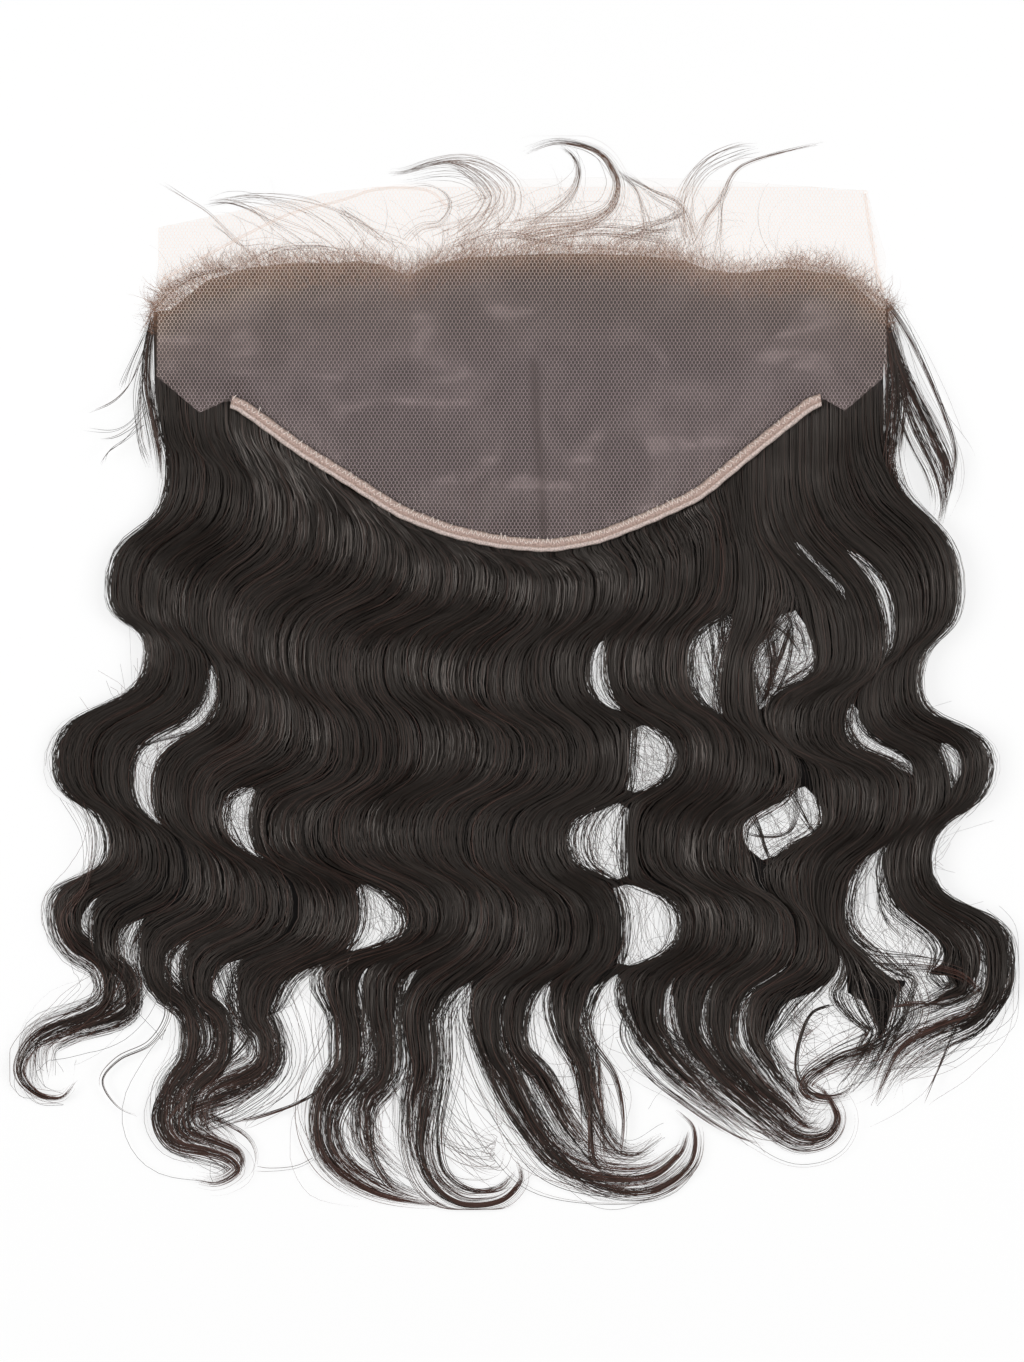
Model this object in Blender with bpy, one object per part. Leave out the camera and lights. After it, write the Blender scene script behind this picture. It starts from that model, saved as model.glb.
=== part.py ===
"""Lace frontal with body wave hair, lying flat on its face, the net side up.

The origin is on the floor under the middle of the net. +Y points to the bare
front margin, +X to the right ear and +Z up. Lengths are in metres.
"""
import math

import bmesh
import bpy

# Sizes read from the photo, the net being 0.330 m from ear to ear.
HAIR_WIDTH = 0.4514     # the fanned hair, side to side
WHOLE_LENGTH = 0.4680   # front edge of the net to the lowest tip
HEM_LIFT = 0.0080       # top of the hair under the binding tape
HAIRLINE_LIFT = 0.0012  # top of the hair along the front hairline
CREST_LIFT = 0.0125     # top of the locks just below the tape
TIP_LIFT = 0.0030       # top of the locks at their tips
LACE_WALL = 0.0010
LACE_CLEAR = 0.0005     # air between the hair and the net over it
TAPE_WALL = 0.0010
TAPE_WIDTH = 0.0045
TAPE_CLEAR = 0.0003
VALLEY = 0.0006         # width of the groove where two locks touch
OPEN_FROM = 0.0022      # grooves wider than this are cut right through
MARGIN_FLAT = 20        # the net touches the floor this far before the hairline

# Places below are (across, down), seen from above with the front edge at the
# top. The hair is 1003 parts wide and the whole 1040 parts long, and every part
# across or down is a share of those two lengths. MIDDLE is the origin.
PARTS_WIDE = 1003
PARTS_LONG = 1040
MIDDLE = (520, 400)

# The net's outline: hairline, front edge and back hem, each from left to right.
HAIRLINE = (
    (150, 318), (200, 290), (250, 275), (300, 267), (350, 259), (400, 254), (500, 247),
    (600, 247), (680, 251), (750, 261), (800, 267), (850, 284), (892, 312),
)
FRONT_EDGE = ((155, 226), (240, 208), (330, 190), (420, 180), (600, 175), (700, 177), (889, 190))
BACK_HEM = (
    (155, 375), (200, 413), (228, 400), (250, 415), (300, 452), (350, 483), (400, 515),
    (450, 534), (500, 545), (550, 549), (600, 540), (650, 520), (700, 497), (750, 455),
    (800, 415), (822, 398), (845, 411), (889, 373),
)
EAR_TO_EAR = (157, 887)
FRONT_CORNERS = (157, 868)
TAPE_SPAN = (232, 820)
TAPE_STEP = 8
NET_COLUMNS = 36

# Every lock from its knots at the hairline to its tip. The columns are the
# turns of the wave: hairline, hem, bend, right 1, left 1, right 2, left 2,
# right 3, left 3, right 4, left 4, last bend, tip.
LOCKS = (
    ("left edge", (170, 316), (172, 392), (176, 432), (186, 472), (124, 590), (160, 655), (74, 760),
     (124, 846), (66, 912), (108, 992), (28, 1052), (34, 1092), (64, 1096)),
    ("left inner", (208, 290), (205, 415), (214, 452), (232, 488), (160, 600), (190, 672), (112, 772),
     (160, 864), (102, 935), (130, 1003), (62, 1036), (44, 1058), (46, 1078)),
    ("hook outer", (246, 277), (242, 413), (258, 460), (272, 508), (210, 618), (236, 693), (170, 792),
     (215, 885), (152, 962), (192, 1035), (166, 1118), (190, 1152), (212, 1166)),
    ("hook middle", (286, 269), (290, 449), (312, 488), (325, 532), (248, 638), (280, 720), (207, 808),
     (266, 905), (196, 978), (224, 1038), (184, 1116), (208, 1146), (230, 1168)),
    ("hook inner", (335, 262), (340, 481), (366, 512), (384, 552), (304, 655), (342, 750), (268, 828),
     (336, 914), (252, 1005), (266, 1050), (203, 1112), (225, 1140), (242, 1172)),
    ("left curl outer", (385, 256), (394, 515), (422, 542), (438, 580), (358, 664), (388, 750), (338, 832),
     (428, 922), (343, 985), (350, 1050), (323, 1125), (345, 1175), (398, 1202)),
    ("left curl middle", (430, 252), (435, 532), (464, 550), (478, 578), (408, 662), (452, 745), (388, 832),
     (454, 912), (380, 988), (386, 1060), (362, 1122), (382, 1164), (428, 1194)),
    ("left curl inner", (478, 249), (475, 544), (500, 558), (515, 580), (450, 680), (505, 750), (440, 835),
     (488, 915), (422, 1000), (421, 1068), (412, 1122), (432, 1172), (486, 1196)),
    ("middle curl outer", (522, 247), (515, 550), (536, 566), (548, 590), (505, 685), (553, 758), (490, 840),
     (538, 930), (487, 1022), (512, 1085), (552, 1148), (612, 1192), (690, 1158)),
    ("middle curl middle", (560, 247), (552, 553), (570, 568), (581, 590), (538, 672), (587, 758),
     (524, 840), (575, 930), (512, 1018), (545, 1082), (576, 1134), (618, 1174), (676, 1148)),
    ("middle curl inner", (598, 247), (590, 546), (602, 562), (610, 585), (563, 668), (612, 762), (549, 840),
     (606, 930), (566, 1010), (583, 1066), (596, 1120), (626, 1156), (662, 1138)),
    ("middle wisp", (650, 250), (650, 524), (660, 548), (668, 577), (630, 672), (695, 752), (645, 842),
     (698, 925), (645, 1002), (662, 1052), (700, 1092), (728, 1118), (752, 1140)),
    ("right curl outer", (700, 254), (700, 501), (714, 524), (718, 560), (672, 668), (727, 755), (682, 850),
     (738, 925), (688, 1008), (712, 1066), (765, 1116), (803, 1144), (838, 1126)),
    ("right curl middle", (738, 259), (745, 463), (748, 525), (758, 590), (738, 690), (764, 768), (712, 850),
     (775, 925), (722, 1020), (750, 1078), (780, 1106), (808, 1128), (830, 1112)),
    ("right curl inner", (772, 263), (768, 445), (772, 530), (838, 650), (782, 725), (848, 795), (806, 882),
     (818, 945), (757, 1022), (776, 1070), (796, 1094), (812, 1111), (824, 1098)),
    ("right loop", (808, 269), (793, 425), (802, 520), (874, 650), (832, 725), (893, 795), (830, 910),
     (862, 968), (884, 1015), (872, 1055), (856, 1078), (848, 1088), (842, 1097)),
    ("right inner", (845, 282), (826, 413), (832, 505), (907, 620), (872, 702), (936, 782), (903, 868),
     (962, 945), (966, 980), (938, 1002), (916, 1012), (904, 1018), (894, 1026)),
    ("right edge", (878, 312), (867, 410), (882, 480), (944, 590), (907, 684), (974, 765), (922, 862),
     (1000, 955), (984, 1014), (934, 1040), (904, 1062), (886, 1086), (874, 1106)),
)
TURNS = 13
LOOSE_FROM = 7.6        # below this turn the locks lie apart
LOOSE_BY = 8.4
THIN_FROM = 10          # below this turn a lock's edges are nearly as high as its middle
# Half widths of the loose part at left 3, right 4, left 4, last bend and tip.
LOOSE_WIDTHS = (
    (20, 11, 9, 7, 3), (14, 11, 8, 6, 3), (12, 11, 9, 7, 3), (12, 10, 8, 7, 3), (20, 15, 9, 7, 3),
    (17, 18, 11, 9, 4), (19, 14, 10, 8, 4), (20, 17, 12, 10, 5), (13, 11, 10, 8, 4), (11, 10, 9, 7, 3),
    (16, 12, 9, 7, 3), (20, 13, 9, 6, 3), (17, 13, 9, 7, 4), (13, 10, 8, 6, 3), (14, 10, 8, 6, 3),
    (16, 14, 10, 7, 4), (13, 10, 8, 5, 3), (16, 13, 10, 7, 4),
)
# From the middle of the two edge locks out to the outline, turn by turn.
LEFT_OUT = (18, 18, 18, 20, 17, 15, 24, 21, 22, 11, 9, 7, 3)
RIGHT_OUT = (12, 18, 19, 19, 14, 23, 10, 17, 16, 13, 10, 7, 4)
# Gaps in the body: lock on the left, from turn, to turn, share of the pitch.
GAPS = (
    (2, 4.8, 6.5, 0.30), (4, 5.7, 6.4, 0.42), (5, 6.7, 7.4, 0.42), (11, 3.7, 4.5, 0.25),
    (11, 4.7, 5.4, 0.55), (11, 5.6, 6.4, 0.50), (11, 6.5, 7.5, 0.55), (13, 3.4, 4.4, 0.45),
    (14, 2.9, 3.95, 0.62), (14, 5.05, 5.95, 0.60), (16, 1.8, 3.1, 0.35), (16, 3.9, 4.9, 0.35),
    (17, 4.7, 5.1, 0.30), (16, 5.6, 7.6, 0.60),
)
# Steps of the grid between one turn and the next.
STEPS = (2, 2, 2, 5, 5, 5, 5, 5, 5, 4, 3, 3)
ROUNDNESS = 1.9         # how long the hair stays upright in a turn

for old in list(bpy.data.objects):
    bpy.data.objects.remove(old, do_unlink=True)
parts = bpy.data.collections.new("lace_frontal")
bpy.context.scene.collection.children.link(parts)


def material(name, colour, roughness):
    made = bpy.data.materials.new(name)
    made.use_nodes = True
    shader = made.node_tree.nodes["Principled BSDF"]
    shader.inputs["Base Color"].default_value = (*colour, 1.0)
    shader.inputs["Roughness"].default_value = roughness
    return made


def finish(bm, name, look):
    """Close the shape up as one named object."""
    bmesh.ops.recalc_face_normals(bm, faces=bm.faces[:])
    mesh = bpy.data.meshes.new(name)
    bm.to_mesh(mesh)
    bm.free()
    mesh.shade_smooth()
    mesh.set_sharp_from_angle(angle=math.radians(50))
    mesh.materials.append(look)
    made = bpy.data.objects.new(name, mesh)
    parts.objects.link(made)
    return made


def between(table, at):
    """Second value of a table of pairs, read at a first value."""
    if at <= table[0][0]:
        return table[0][1]
    for (a, low), (b, high) in zip(table, table[1:]):
        if at <= b:
            return low + (high - low) * (at - a) / (b - a)
    return table[-1][1]


def metres(across, down, height):
    x = (across - MIDDLE[0]) / PARTS_WIDE * HAIR_WIDTH
    y = (MIDDLE[1] - down) / PARTS_LONG * WHOLE_LENGTH
    return (x, y, height)


def lift_under_net(across, down):
    """Top of the hair under the net: thin at the hairline, full at the hem."""
    top = between(HAIRLINE, across)
    hem = between(BACK_HEM, across)
    share = min(1.0, max(0.0, (down - top) / (hem - top)))
    return HAIRLINE_LIFT + (HEM_LIFT - HAIRLINE_LIFT) * share ** 0.8


# The hair is one sheet of locks, cut open where the floor shows through.

def slope(points, turn, chord):
    """Pull of a lock at a turn: upright where the wave turns back, else free."""
    here = points[turn]
    before = points[max(turn - 1, 0)]
    after = points[min(turn + 1, TURNS - 1)]
    if (after[0] - here[0]) * (here[0] - before[0]) < 0.0:
        return (0.0, abs(chord[1]) * ROUNDNESS)
    across = after[0] - before[0]
    down = after[1] - before[1]
    pull = math.hypot(chord[0], chord[1]) / math.hypot(across, down)
    return (across * pull, down * pull)


def along(lock, t):
    """Place and direction of a lock's middle at turn t."""
    points = LOCKS[lock][1:]
    turn = min(int(t), TURNS - 2)
    s = t - turn
    a = points[turn]
    b = points[turn + 1]
    chord = (b[0] - a[0], b[1] - a[1])
    da = slope(points, turn, chord)
    db = slope(points, turn + 1, chord)
    place = []
    going = []
    for k in range(2):
        place.append(
            a[k] * (2 * s ** 3 - 3 * s ** 2 + 1) + da[k] * (s ** 3 - 2 * s ** 2 + s)
            + b[k] * (3 * s ** 2 - 2 * s ** 3) + db[k] * (s ** 3 - s ** 2))
        going.append(
            (a[k] - b[k]) * (6 * s ** 2 - 6 * s) + da[k] * (3 * s ** 2 - 4 * s + 1)
            + db[k] * (3 * s ** 2 - 2 * s))
    return place, going


def gap_share(left_lock, t):
    share = 0.0
    for number, start, end, width in GAPS:
        if number == left_lock + 1 and start < t < end:
            share = max(share, width * math.sin(math.pi * (t - start) / (end - start)) ** 0.6)
    return share


def read_row(values, t, first):
    """Value of a row of numbers, one for each turn from the first."""
    spot = min(max(t - first, 0.0), len(values) - 1.0)
    low = min(int(spot), len(values) - 2)
    return values[low] + (values[low + 1] - values[low]) * (spot - low)


def edges(lock, t):
    """Left edge, middle and right edge of a lock at turn t."""
    middle, going = along(lock, t)
    size = math.hypot(going[0], going[1])
    normal = (going[1] / size, -going[0] / size)
    loose = min(1.0, max(0.0, (t - LOOSE_FROM) / (LOOSE_BY - LOOSE_FROM)))
    loose = loose * loose * (3.0 - 2.0 * loose)
    width = read_row(LOOSE_WIDTHS[lock], t, 8)
    valley = 0.5 * VALLEY / HAIR_WIDTH * PARTS_WIDE
    found = []
    for side in (-1, 1):
        other = lock + side
        if 0 <= other < len(LOCKS):
            far, unused = along(other, t)
            gap = gap_share(min(lock, other), t)
            reach = math.hypot(far[0] - middle[0], far[1] - middle[1])
            part = max(0.1, 0.5 * (1.0 - gap) - valley / reach)
            step = ((far[0] - middle[0]) * part, (far[1] - middle[1]) * part)
            free = (side * normal[0] * width, side * normal[1] * width)
            mixed = [step[k] + (free[k] - step[k]) * loose for k in range(2)]
            # a loose lock still never reaches past the middle to its neighbour
            unit = ((far[0] - middle[0]) / reach, (far[1] - middle[1]) / reach)
            past = mixed[0] * unit[0] + mixed[1] * unit[1] - (0.5 * reach - valley)
            if past > 0.0:
                mixed = [mixed[k] - past * unit[k] for k in range(2)]
        else:
            out = read_row(LEFT_OUT if side < 0 else RIGHT_OUT, t, 0)
            mixed = [side * out * (1.0 + (normal[0] - 1.0) * loose), side * out * normal[1] * loose]
        found.append((middle[0] + mixed[0], middle[1] + mixed[1]))
    return found[0], (middle[0], middle[1]), found[1]


def crest(lock, t):
    """Top of a lock's middle below the hem."""
    rise = min(1.0, (t - 1.0) / 1.5)
    fall = min(1.0, max(0.0, (t - 5.0) / 7.0))
    full = CREST_LIFT + (TIP_LIFT - CREST_LIFT) * fall ** 0.8
    uneven = 1.0 + (0.06 if lock % 2 else -0.06) * rise
    return (HEM_LIFT + (full - HEM_LIFT) * rise) * uneven


times = [0.0]
for turn, count in enumerate(STEPS):
    for step in range(count):
        times.append(turn + (step + 1) / count)

places = {}
groove = {}
for j, t in enumerate(times):
    for lock in range(len(LOCKS)):
        row = edges(lock, t)
        for k, spot in enumerate(row):
            if t <= 1.0:
                height = lift_under_net(*spot)
            else:
                side = 0.42 if t < THIN_FROM else 0.6
                rise = min(1.0, (t - 1.0) / 1.0)
                drop = 1.0 if k == 1 else 1.0 + (side - 1.0) * rise
                height = crest(lock, t) * drop
            places[(3 * lock + k, j)] = metres(spot[0], spot[1], height)
    for lock in range(len(LOCKS) - 1):
        a = places[(3 * lock + 2, j)]
        b = places[(3 * lock + 3, j)]
        groove[(lock, j)] = math.hypot(b[0] - a[0], b[1] - a[1])

columns = 3 * len(LOCKS) - 1
rows = len(times) - 1
hair = bmesh.new()
bmesh.ops.create_grid(hair, x_segments=columns, y_segments=rows, size=0.5)
open_cells = []
for face in hair.faces:
    middle = face.calc_center_median()
    column = int((middle.x + 0.5) * columns)
    row = int((middle.y + 0.5) * rows)
    if column % 3 == 2:
        lock = column // 3
        if max(groove[(lock, row)], groove[(lock, row + 1)]) > OPEN_FROM:
            open_cells.append(face)
bmesh.ops.delete(hair, geom=open_cells, context="FACES")
for vert in hair.verts:
    column = round((vert.co.x + 0.5) * columns)
    row = round((vert.co.y + 0.5) * rows)
    vert.co = places[(column, row)]
pulled = bmesh.ops.extrude_face_region(hair, geom=hair.faces[:])
for item in pulled["geom"]:
    if isinstance(item, bmesh.types.BMVert):
        item.co.z = 0.0
finish(hair, "hair", material("hair", (0.013, 0.011, 0.011), 0.40))


# The net is a thin wall that lies on the floor in front and climbs over the hair.

def net_stations(share):
    """Places down the net at one column, each with the height of its underside."""
    across = EAR_TO_EAR[0] + (EAR_TO_EAR[1] - EAR_TO_EAR[0]) * share
    corner = FRONT_CORNERS[0] + (FRONT_CORNERS[1] - FRONT_CORNERS[0]) * share
    front = between(FRONT_EDGE, corner)
    line = between(HAIRLINE, across)
    hem = between(BACK_HEM, across)
    flat_to = line - MARGIN_FLAT
    halfway = (corner + across) / 2.0
    found = [(corner, front, 0.0), (halfway, (front + flat_to) / 2.0, 0.0), (across, flat_to, 0.0)]
    for step in range(6):
        down = line + (hem - line) * step / 5.0
        found.append((across, down, lift_under_net(across, down) + LACE_CLEAR))
    return found


lace = bmesh.new()
bmesh.ops.create_grid(lace, x_segments=NET_COLUMNS, y_segments=8, size=0.5)
for vert in lace.verts:
    across, down, height = net_stations(vert.co.x + 0.5)[round((vert.co.y + 0.5) * 8)]
    vert.co = metres(across, down, height)
pulled = bmesh.ops.extrude_face_region(lace, geom=lace.faces[:])
for item in pulled["geom"]:
    if isinstance(item, bmesh.types.BMVert):
        item.co.z += LACE_WALL
finish(lace, "lace", material("lace", (0.30, 0.25, 0.22), 0.85))


# The binding tape is stitched on top of the back hem of the net.

tape = bmesh.new()
bmesh.ops.create_grid(tape, x_segments=NET_COLUMNS, y_segments=1, size=0.5)
for vert in tape.verts:
    across = TAPE_SPAN[0] + (TAPE_SPAN[1] - TAPE_SPAN[0]) * (vert.co.x + 0.5)
    hem = between(BACK_HEM, across)
    ahead = between(BACK_HEM, across + TAPE_STEP)
    steep = (ahead - between(BACK_HEM, across - TAPE_STEP)) / (2.0 * TAPE_STEP)
    wide = TAPE_WIDTH / HAIR_WIDTH * PARTS_WIDE
    inner = vert.co.y < 0.0
    push = -wide if inner else 1.0
    spot = (across - push * steep / math.hypot(1.0, steep), hem + push / math.hypot(1.0, steep))
    height = lift_under_net(*spot) + LACE_CLEAR + LACE_WALL + TAPE_CLEAR
    vert.co = metres(spot[0], spot[1], height)
pulled = bmesh.ops.extrude_face_region(tape, geom=tape.faces[:])
for item in pulled["geom"]:
    if isinstance(item, bmesh.types.BMVert):
        item.co.z += TAPE_WALL
finish(tape, "binding_tape", material("binding_tape", (0.58, 0.44, 0.35), 0.90))
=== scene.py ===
import math

import bmesh
import bpy
import numpy as np
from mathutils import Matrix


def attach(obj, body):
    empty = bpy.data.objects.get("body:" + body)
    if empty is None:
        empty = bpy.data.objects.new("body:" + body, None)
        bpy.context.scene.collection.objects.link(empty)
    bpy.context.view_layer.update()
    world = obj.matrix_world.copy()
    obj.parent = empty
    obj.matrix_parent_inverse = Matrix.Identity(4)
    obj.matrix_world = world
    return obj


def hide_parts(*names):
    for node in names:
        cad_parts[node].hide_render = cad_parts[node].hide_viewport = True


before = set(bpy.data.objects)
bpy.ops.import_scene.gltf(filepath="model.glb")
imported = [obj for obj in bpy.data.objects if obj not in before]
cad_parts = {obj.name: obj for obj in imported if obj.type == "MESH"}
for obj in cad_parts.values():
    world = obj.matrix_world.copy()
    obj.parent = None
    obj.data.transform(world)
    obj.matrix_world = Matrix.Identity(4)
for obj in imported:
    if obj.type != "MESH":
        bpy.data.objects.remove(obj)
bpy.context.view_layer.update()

# Table top, camera and studio light.
# The hairpiece lies on a white table and is photographed from straight above,
# under wide lamps to its left and right and a weaker one past its front edge.
scene = bpy.context.scene
for name in ("Cube", "Light", "Camera"):
    if name in bpy.data.objects:
        bpy.data.objects.remove(bpy.data.objects[name])
scene.view_settings.view_transform = "Standard"

HAIR_WIDTH = 0.4514
WHOLE_LENGTH = 0.4680
PARTS_WIDE = 1003       # the same width and length in parts, in which all places are given
PARTS_LONG = 1040
MIDDLE = (520, 400)


def place(across, down, height):
    """Metres from parts across and down the laid out hairpiece, height in metres."""
    x = (np.asarray(across, float) - MIDDLE[0]) / PARTS_WIDE * HAIR_WIDTH
    y = (MIDDLE[1] - np.asarray(down, float)) / PARTS_LONG * WHOLE_LENGTH
    return np.stack(np.broadcast_arrays(x, y, np.asarray(height, float)), axis=-1)


def plain_look(name, colour, roughness, specular):
    """A material of one colour, and its shader."""
    made = bpy.data.materials.new(name)
    made.use_nodes = True
    shader = made.node_tree.nodes["Principled BSDF"]
    shader.inputs["Base Color"].default_value = (*colour, 1.0)
    shader.inputs["Roughness"].default_value = roughness
    shader.inputs["Specular IOR Level"].default_value = specular
    return made, shader


TABLE_HALF = 4.0
bm = bmesh.new()
bmesh.ops.create_grid(bm, x_segments=1, y_segments=1, size=TABLE_HALF)
floor_mesh = bpy.data.meshes.new("table_top")
bm.to_mesh(floor_mesh)
bm.free()
table_top = bpy.data.objects.new("table_top", floor_mesh)
scene.collection.objects.link(table_top)
table_look, table_shader = plain_look("white_table", (0.30, 0.30, 0.30), 0.9, 0.1)
table_shader.inputs["Emission Color"].default_value = (1.0, 1.0, 1.0, 1.0)
table_shader.inputs["Emission Strength"].default_value = 0.715
table_top.data.materials.append(table_look)

CAMERA_HEIGHT = 2.2
TRUE_SIZE_AT = 0.008    # height over the table where the picture has its true scale
TABLE_SEEN = 1362 * 0.45e-3
SENSOR = 36.0
camera_data = bpy.data.cameras.new("camera")
camera_data.sensor_width = SENSOR
camera_data.lens = SENSOR * (CAMERA_HEIGHT - TRUE_SIZE_AT) / TABLE_SEEN
camera = bpy.data.objects.new("camera", camera_data)
camera.location = place(512, 681, CAMERA_HEIGHT)
scene.collection.objects.link(camera)
scene.camera = camera

sky = bpy.data.worlds.new("studio")
sky.use_nodes = True
sky.node_tree.nodes["Background"].inputs["Color"].default_value = (1.0, 1.0, 1.0, 1.0)
sky.node_tree.nodes["Background"].inputs["Strength"].default_value = 0.16
scene.world = sky

LAMPS = (
    # name, place in metres, aim, size, watts
    ("lamp_left", (-1.6, -0.1, 1.5), (0.0, -0.1, 0.0), 1.0, 26.0),
    ("lamp_right", (1.6, -0.1, 1.5), (0.0, -0.1, 0.0), 1.0, 26.0),
    ("lamp_top", (0.0, 1.2, 2.1), (0.0, -0.1, 0.0), 1.0, 6.0),
)
for name, spot, aim, size, watts in LAMPS:
    lamp_data = bpy.data.lights.new(name, "AREA")
    lamp_data.shape = "SQUARE"
    lamp_data.size = size
    lamp_data.energy = watts
    lamp = bpy.data.objects.new(name, lamp_data)
    lamp.location = spot
    toward = [a - b for a, b in zip(aim, spot)]
    flat_reach = math.hypot(toward[0], toward[1])
    tip_down = math.atan2(flat_reach, -toward[2])
    lamp.rotation_euler = (tip_down, 0.0, math.atan2(-toward[0], toward[1]))
    scene.collection.objects.link(lamp)

# The net the hair is knotted to.
# One piece of fine bobbin net in a pale skin tone, cut in a crescent with two
# ear tabs. The front margin is bare and lies on the table, the rest lies on the hair.
HAIRLINE = (
    (150, 318), (200, 290), (250, 275), (300, 267), (350, 259), (400, 254), (500, 247),
    (600, 247), (680, 251), (750, 261), (800, 267), (850, 284), (892, 312),
)
FRONT_EDGE = ((155, 226), (240, 208), (330, 190), (420, 180), (600, 175), (700, 177), (889, 190))
BACK_HEM = (
    (155, 375), (200, 413), (228, 400), (250, 415), (300, 452), (350, 483), (400, 515),
    (450, 534), (500, 545), (550, 549), (600, 540), (650, 520), (700, 497), (750, 455),
    (800, 415), (822, 398), (845, 411), (889, 373),
)
EAR_TO_EAR = (157, 887)
FRONT_CORNERS = (157, 868)
NET_GRID = (120, 56)
MARGIN_FLAT = 20
MARGIN_LIFT = 0.0006    # the bare margin's height over the table
HAIRLINE_LIFT = 0.0012
HEM_LIFT = 0.0080
NET_LIFT = 0.0009       # the net's height over the hair under it
KNOTTING_GROWS = 30.0   # parts behind the hairline until the net is full of knots


def read(table, at):
    return np.interp(at, [pair[0] for pair in table], [pair[1] for pair in table])


def hair_top_under_net(across, down):
    top = read(HAIRLINE, across)
    hem = read(BACK_HEM, across)
    share = np.clip((down - top) / (hem - top), 0.0, 1.0)
    return HAIRLINE_LIFT + (HEM_LIFT - HAIRLINE_LIFT) * share ** 0.8


def net_height(across, down):
    """Height of the net: flat on the table in front, then up over the hair."""
    top = read(HAIRLINE, across)
    climb = np.clip((down - (top - MARGIN_FLAT)) / MARGIN_FLAT, 0.0, 1.0)
    over_hair = hair_top_under_net(across, down) + NET_LIFT
    height = MARGIN_LIFT + (over_hair - MARGIN_LIFT) * climb * climb * (3.0 - 2.0 * climb)
    crease = np.exp(-((across - 533.0 - (down - 300.0) * 0.05) / 3.0) ** 2) * climb
    ripple = np.sin(across * 0.055 + down * 0.031) * np.sin(down * 0.083 - across * 0.012)
    return height + 0.0004 * crease + 0.00025 * ripple * climb


def net_share_to_place(share, row):
    """Parts across and down at a share of the way across and from front to hem."""
    across = EAR_TO_EAR[0] + (EAR_TO_EAR[1] - EAR_TO_EAR[0]) * share
    corner = FRONT_CORNERS[0] + (FRONT_CORNERS[1] - FRONT_CORNERS[0]) * share
    front = read(FRONT_EDGE, corner)
    hem = read(BACK_HEM, across)
    down = front + (hem - front) * row
    ease = np.clip(row / 0.35, 0.0, 1.0)
    return corner + (across - corner) * ease, down


def add_object(name, mesh, look):
    made = bpy.data.objects.new(name, mesh)
    scene.collection.objects.link(made)
    mesh.materials.append(look)
    mesh.shade_smooth()
    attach(made, "root")
    return made


def feed(node, sockets):
    """Sets sockets of a node to plain values, or links them from outputs."""
    for socket, value in sockets.items():
        if isinstance(value, bpy.types.NodeSocket):
            node.id_data.links.new(value, node.inputs[socket])
        else:
            node.inputs[socket].default_value = value


def add_node(look, kind, output, sockets=None, **options):
    """A node in a material, with what feeds its sockets; gives back one output."""
    node = look.node_tree.nodes.new("ShaderNode" + kind)
    for option, value in options.items():
        setattr(node, option, value)
    feed(node, sockets or {})
    return node.outputs[output]


def add_ramp(look, factor, stops):
    """A colour ramp with its stops from the first to the last."""
    node = look.node_tree.nodes.new("ShaderNodeValToRGB")
    ramp = node.color_ramp.elements
    for number, (position, colour) in enumerate((stops[0], stops[-1])):
        ramp[number].position = position
        ramp[number].color = (*colour, 1.0)
    for position, colour in stops[1:-1]:
        ramp.new(position).color = (*colour, 1.0)
    feed(node, {"Fac": factor})
    return node.outputs["Color"]


bm = bmesh.new()
bm.loops.layers.uv.new("OFBake")
bmesh.ops.create_grid(bm, x_segments=NET_GRID[0], y_segments=NET_GRID[1], size=0.5, calc_uvs=True)
for vert in bm.verts:
    across, down = net_share_to_place(vert.co.x + 0.5, vert.co.y + 0.5)
    vert.co = place(across, down, net_height(across, down))
bmesh.ops.recalc_face_normals(bm, faces=bm.faces[:])
if sum(face.normal.z for face in bm.faces) < 0.0:
    bmesh.ops.reverse_faces(bm, faces=bm.faces[:])
film_area = sum(face.calc_area() for face in bm.faces)
over_hair = bm.verts.layers.float.new("over_hair")
for vert in bm.verts:
    across = vert.co.x / HAIR_WIDTH * PARTS_WIDE + MIDDLE[0]
    down = MIDDLE[1] - vert.co.y / WHOLE_LENGTH * PARTS_LONG
    knots_here = (down - read(HAIRLINE, across)) / KNOTTING_GROWS
    vert[over_hair] = min(max(knots_here, 0.0), 1.0)
film_mesh = bpy.data.meshes.new("net_ground")
bm.to_mesh(film_mesh)
bm.free()
film_look, film_shader = plain_look("net_haze", (0.80, 0.62, 0.50), 0.9, 0.1)
hair_under_film = add_node(film_look, "Attribute", "Fac", attribute_name="over_hair")
film_place = add_node(film_look, "TexCoord", "Object")
# cloudy wrinkles over the hair make the pale film more opaque: a painted sheen on the wrinkled net
wrinkles = add_node(film_look, "TexNoise", "Fac", {
    "Vector": film_place, "Scale": 26.0, "Detail": 4.0, "Distortion": 1.2})
wrinkle_sheen = add_node(film_look, "MapRange", "Result", {
    "Value": wrinkles, "From Min": 0.43, "From Max": 0.68, "To Min": 0.05, "To Max": 0.15})
# sharp little creases, only in some patches, paler where the net doubles and with a painted sheen
# where they catch the light
drawn_out = add_node(film_look, "Mapping", "Vector", {
    "Vector": film_place, "Rotation": (0.0, 0.0, 0.5), "Scale": (7.0, 34.0, 1.0)})
crease_lines = add_node(film_look, "TexNoise", "Fac", {
    "Vector": drawn_out, "Scale": 1.0, "Detail": 1.0, "Distortion": 0.3})
from_line = add_node(film_look, "Math", "Value", {0: crease_lines, 1: 0.55}, operation="SUBTRACT")
off_line = add_node(film_look, "Math", "Value", {0: from_line}, operation="ABSOLUTE")
sheen_on_creases = add_node(film_look, "MapRange", "Result", {
    "Value": off_line, "From Min": 0.0, "From Max": 0.035, "To Min": 0.15, "To Max": 0.0})
creased_patch = add_node(film_look, "MapRange", "Result", {
    "Value": wrinkles, "From Min": 0.47, "From Max": 0.60})
painted_net_sheen = add_node(film_look, "Math", "Value", {
    0: sheen_on_creases, 1: creased_patch, 2: wrinkle_sheen}, operation="MULTIPLY_ADD")
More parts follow.
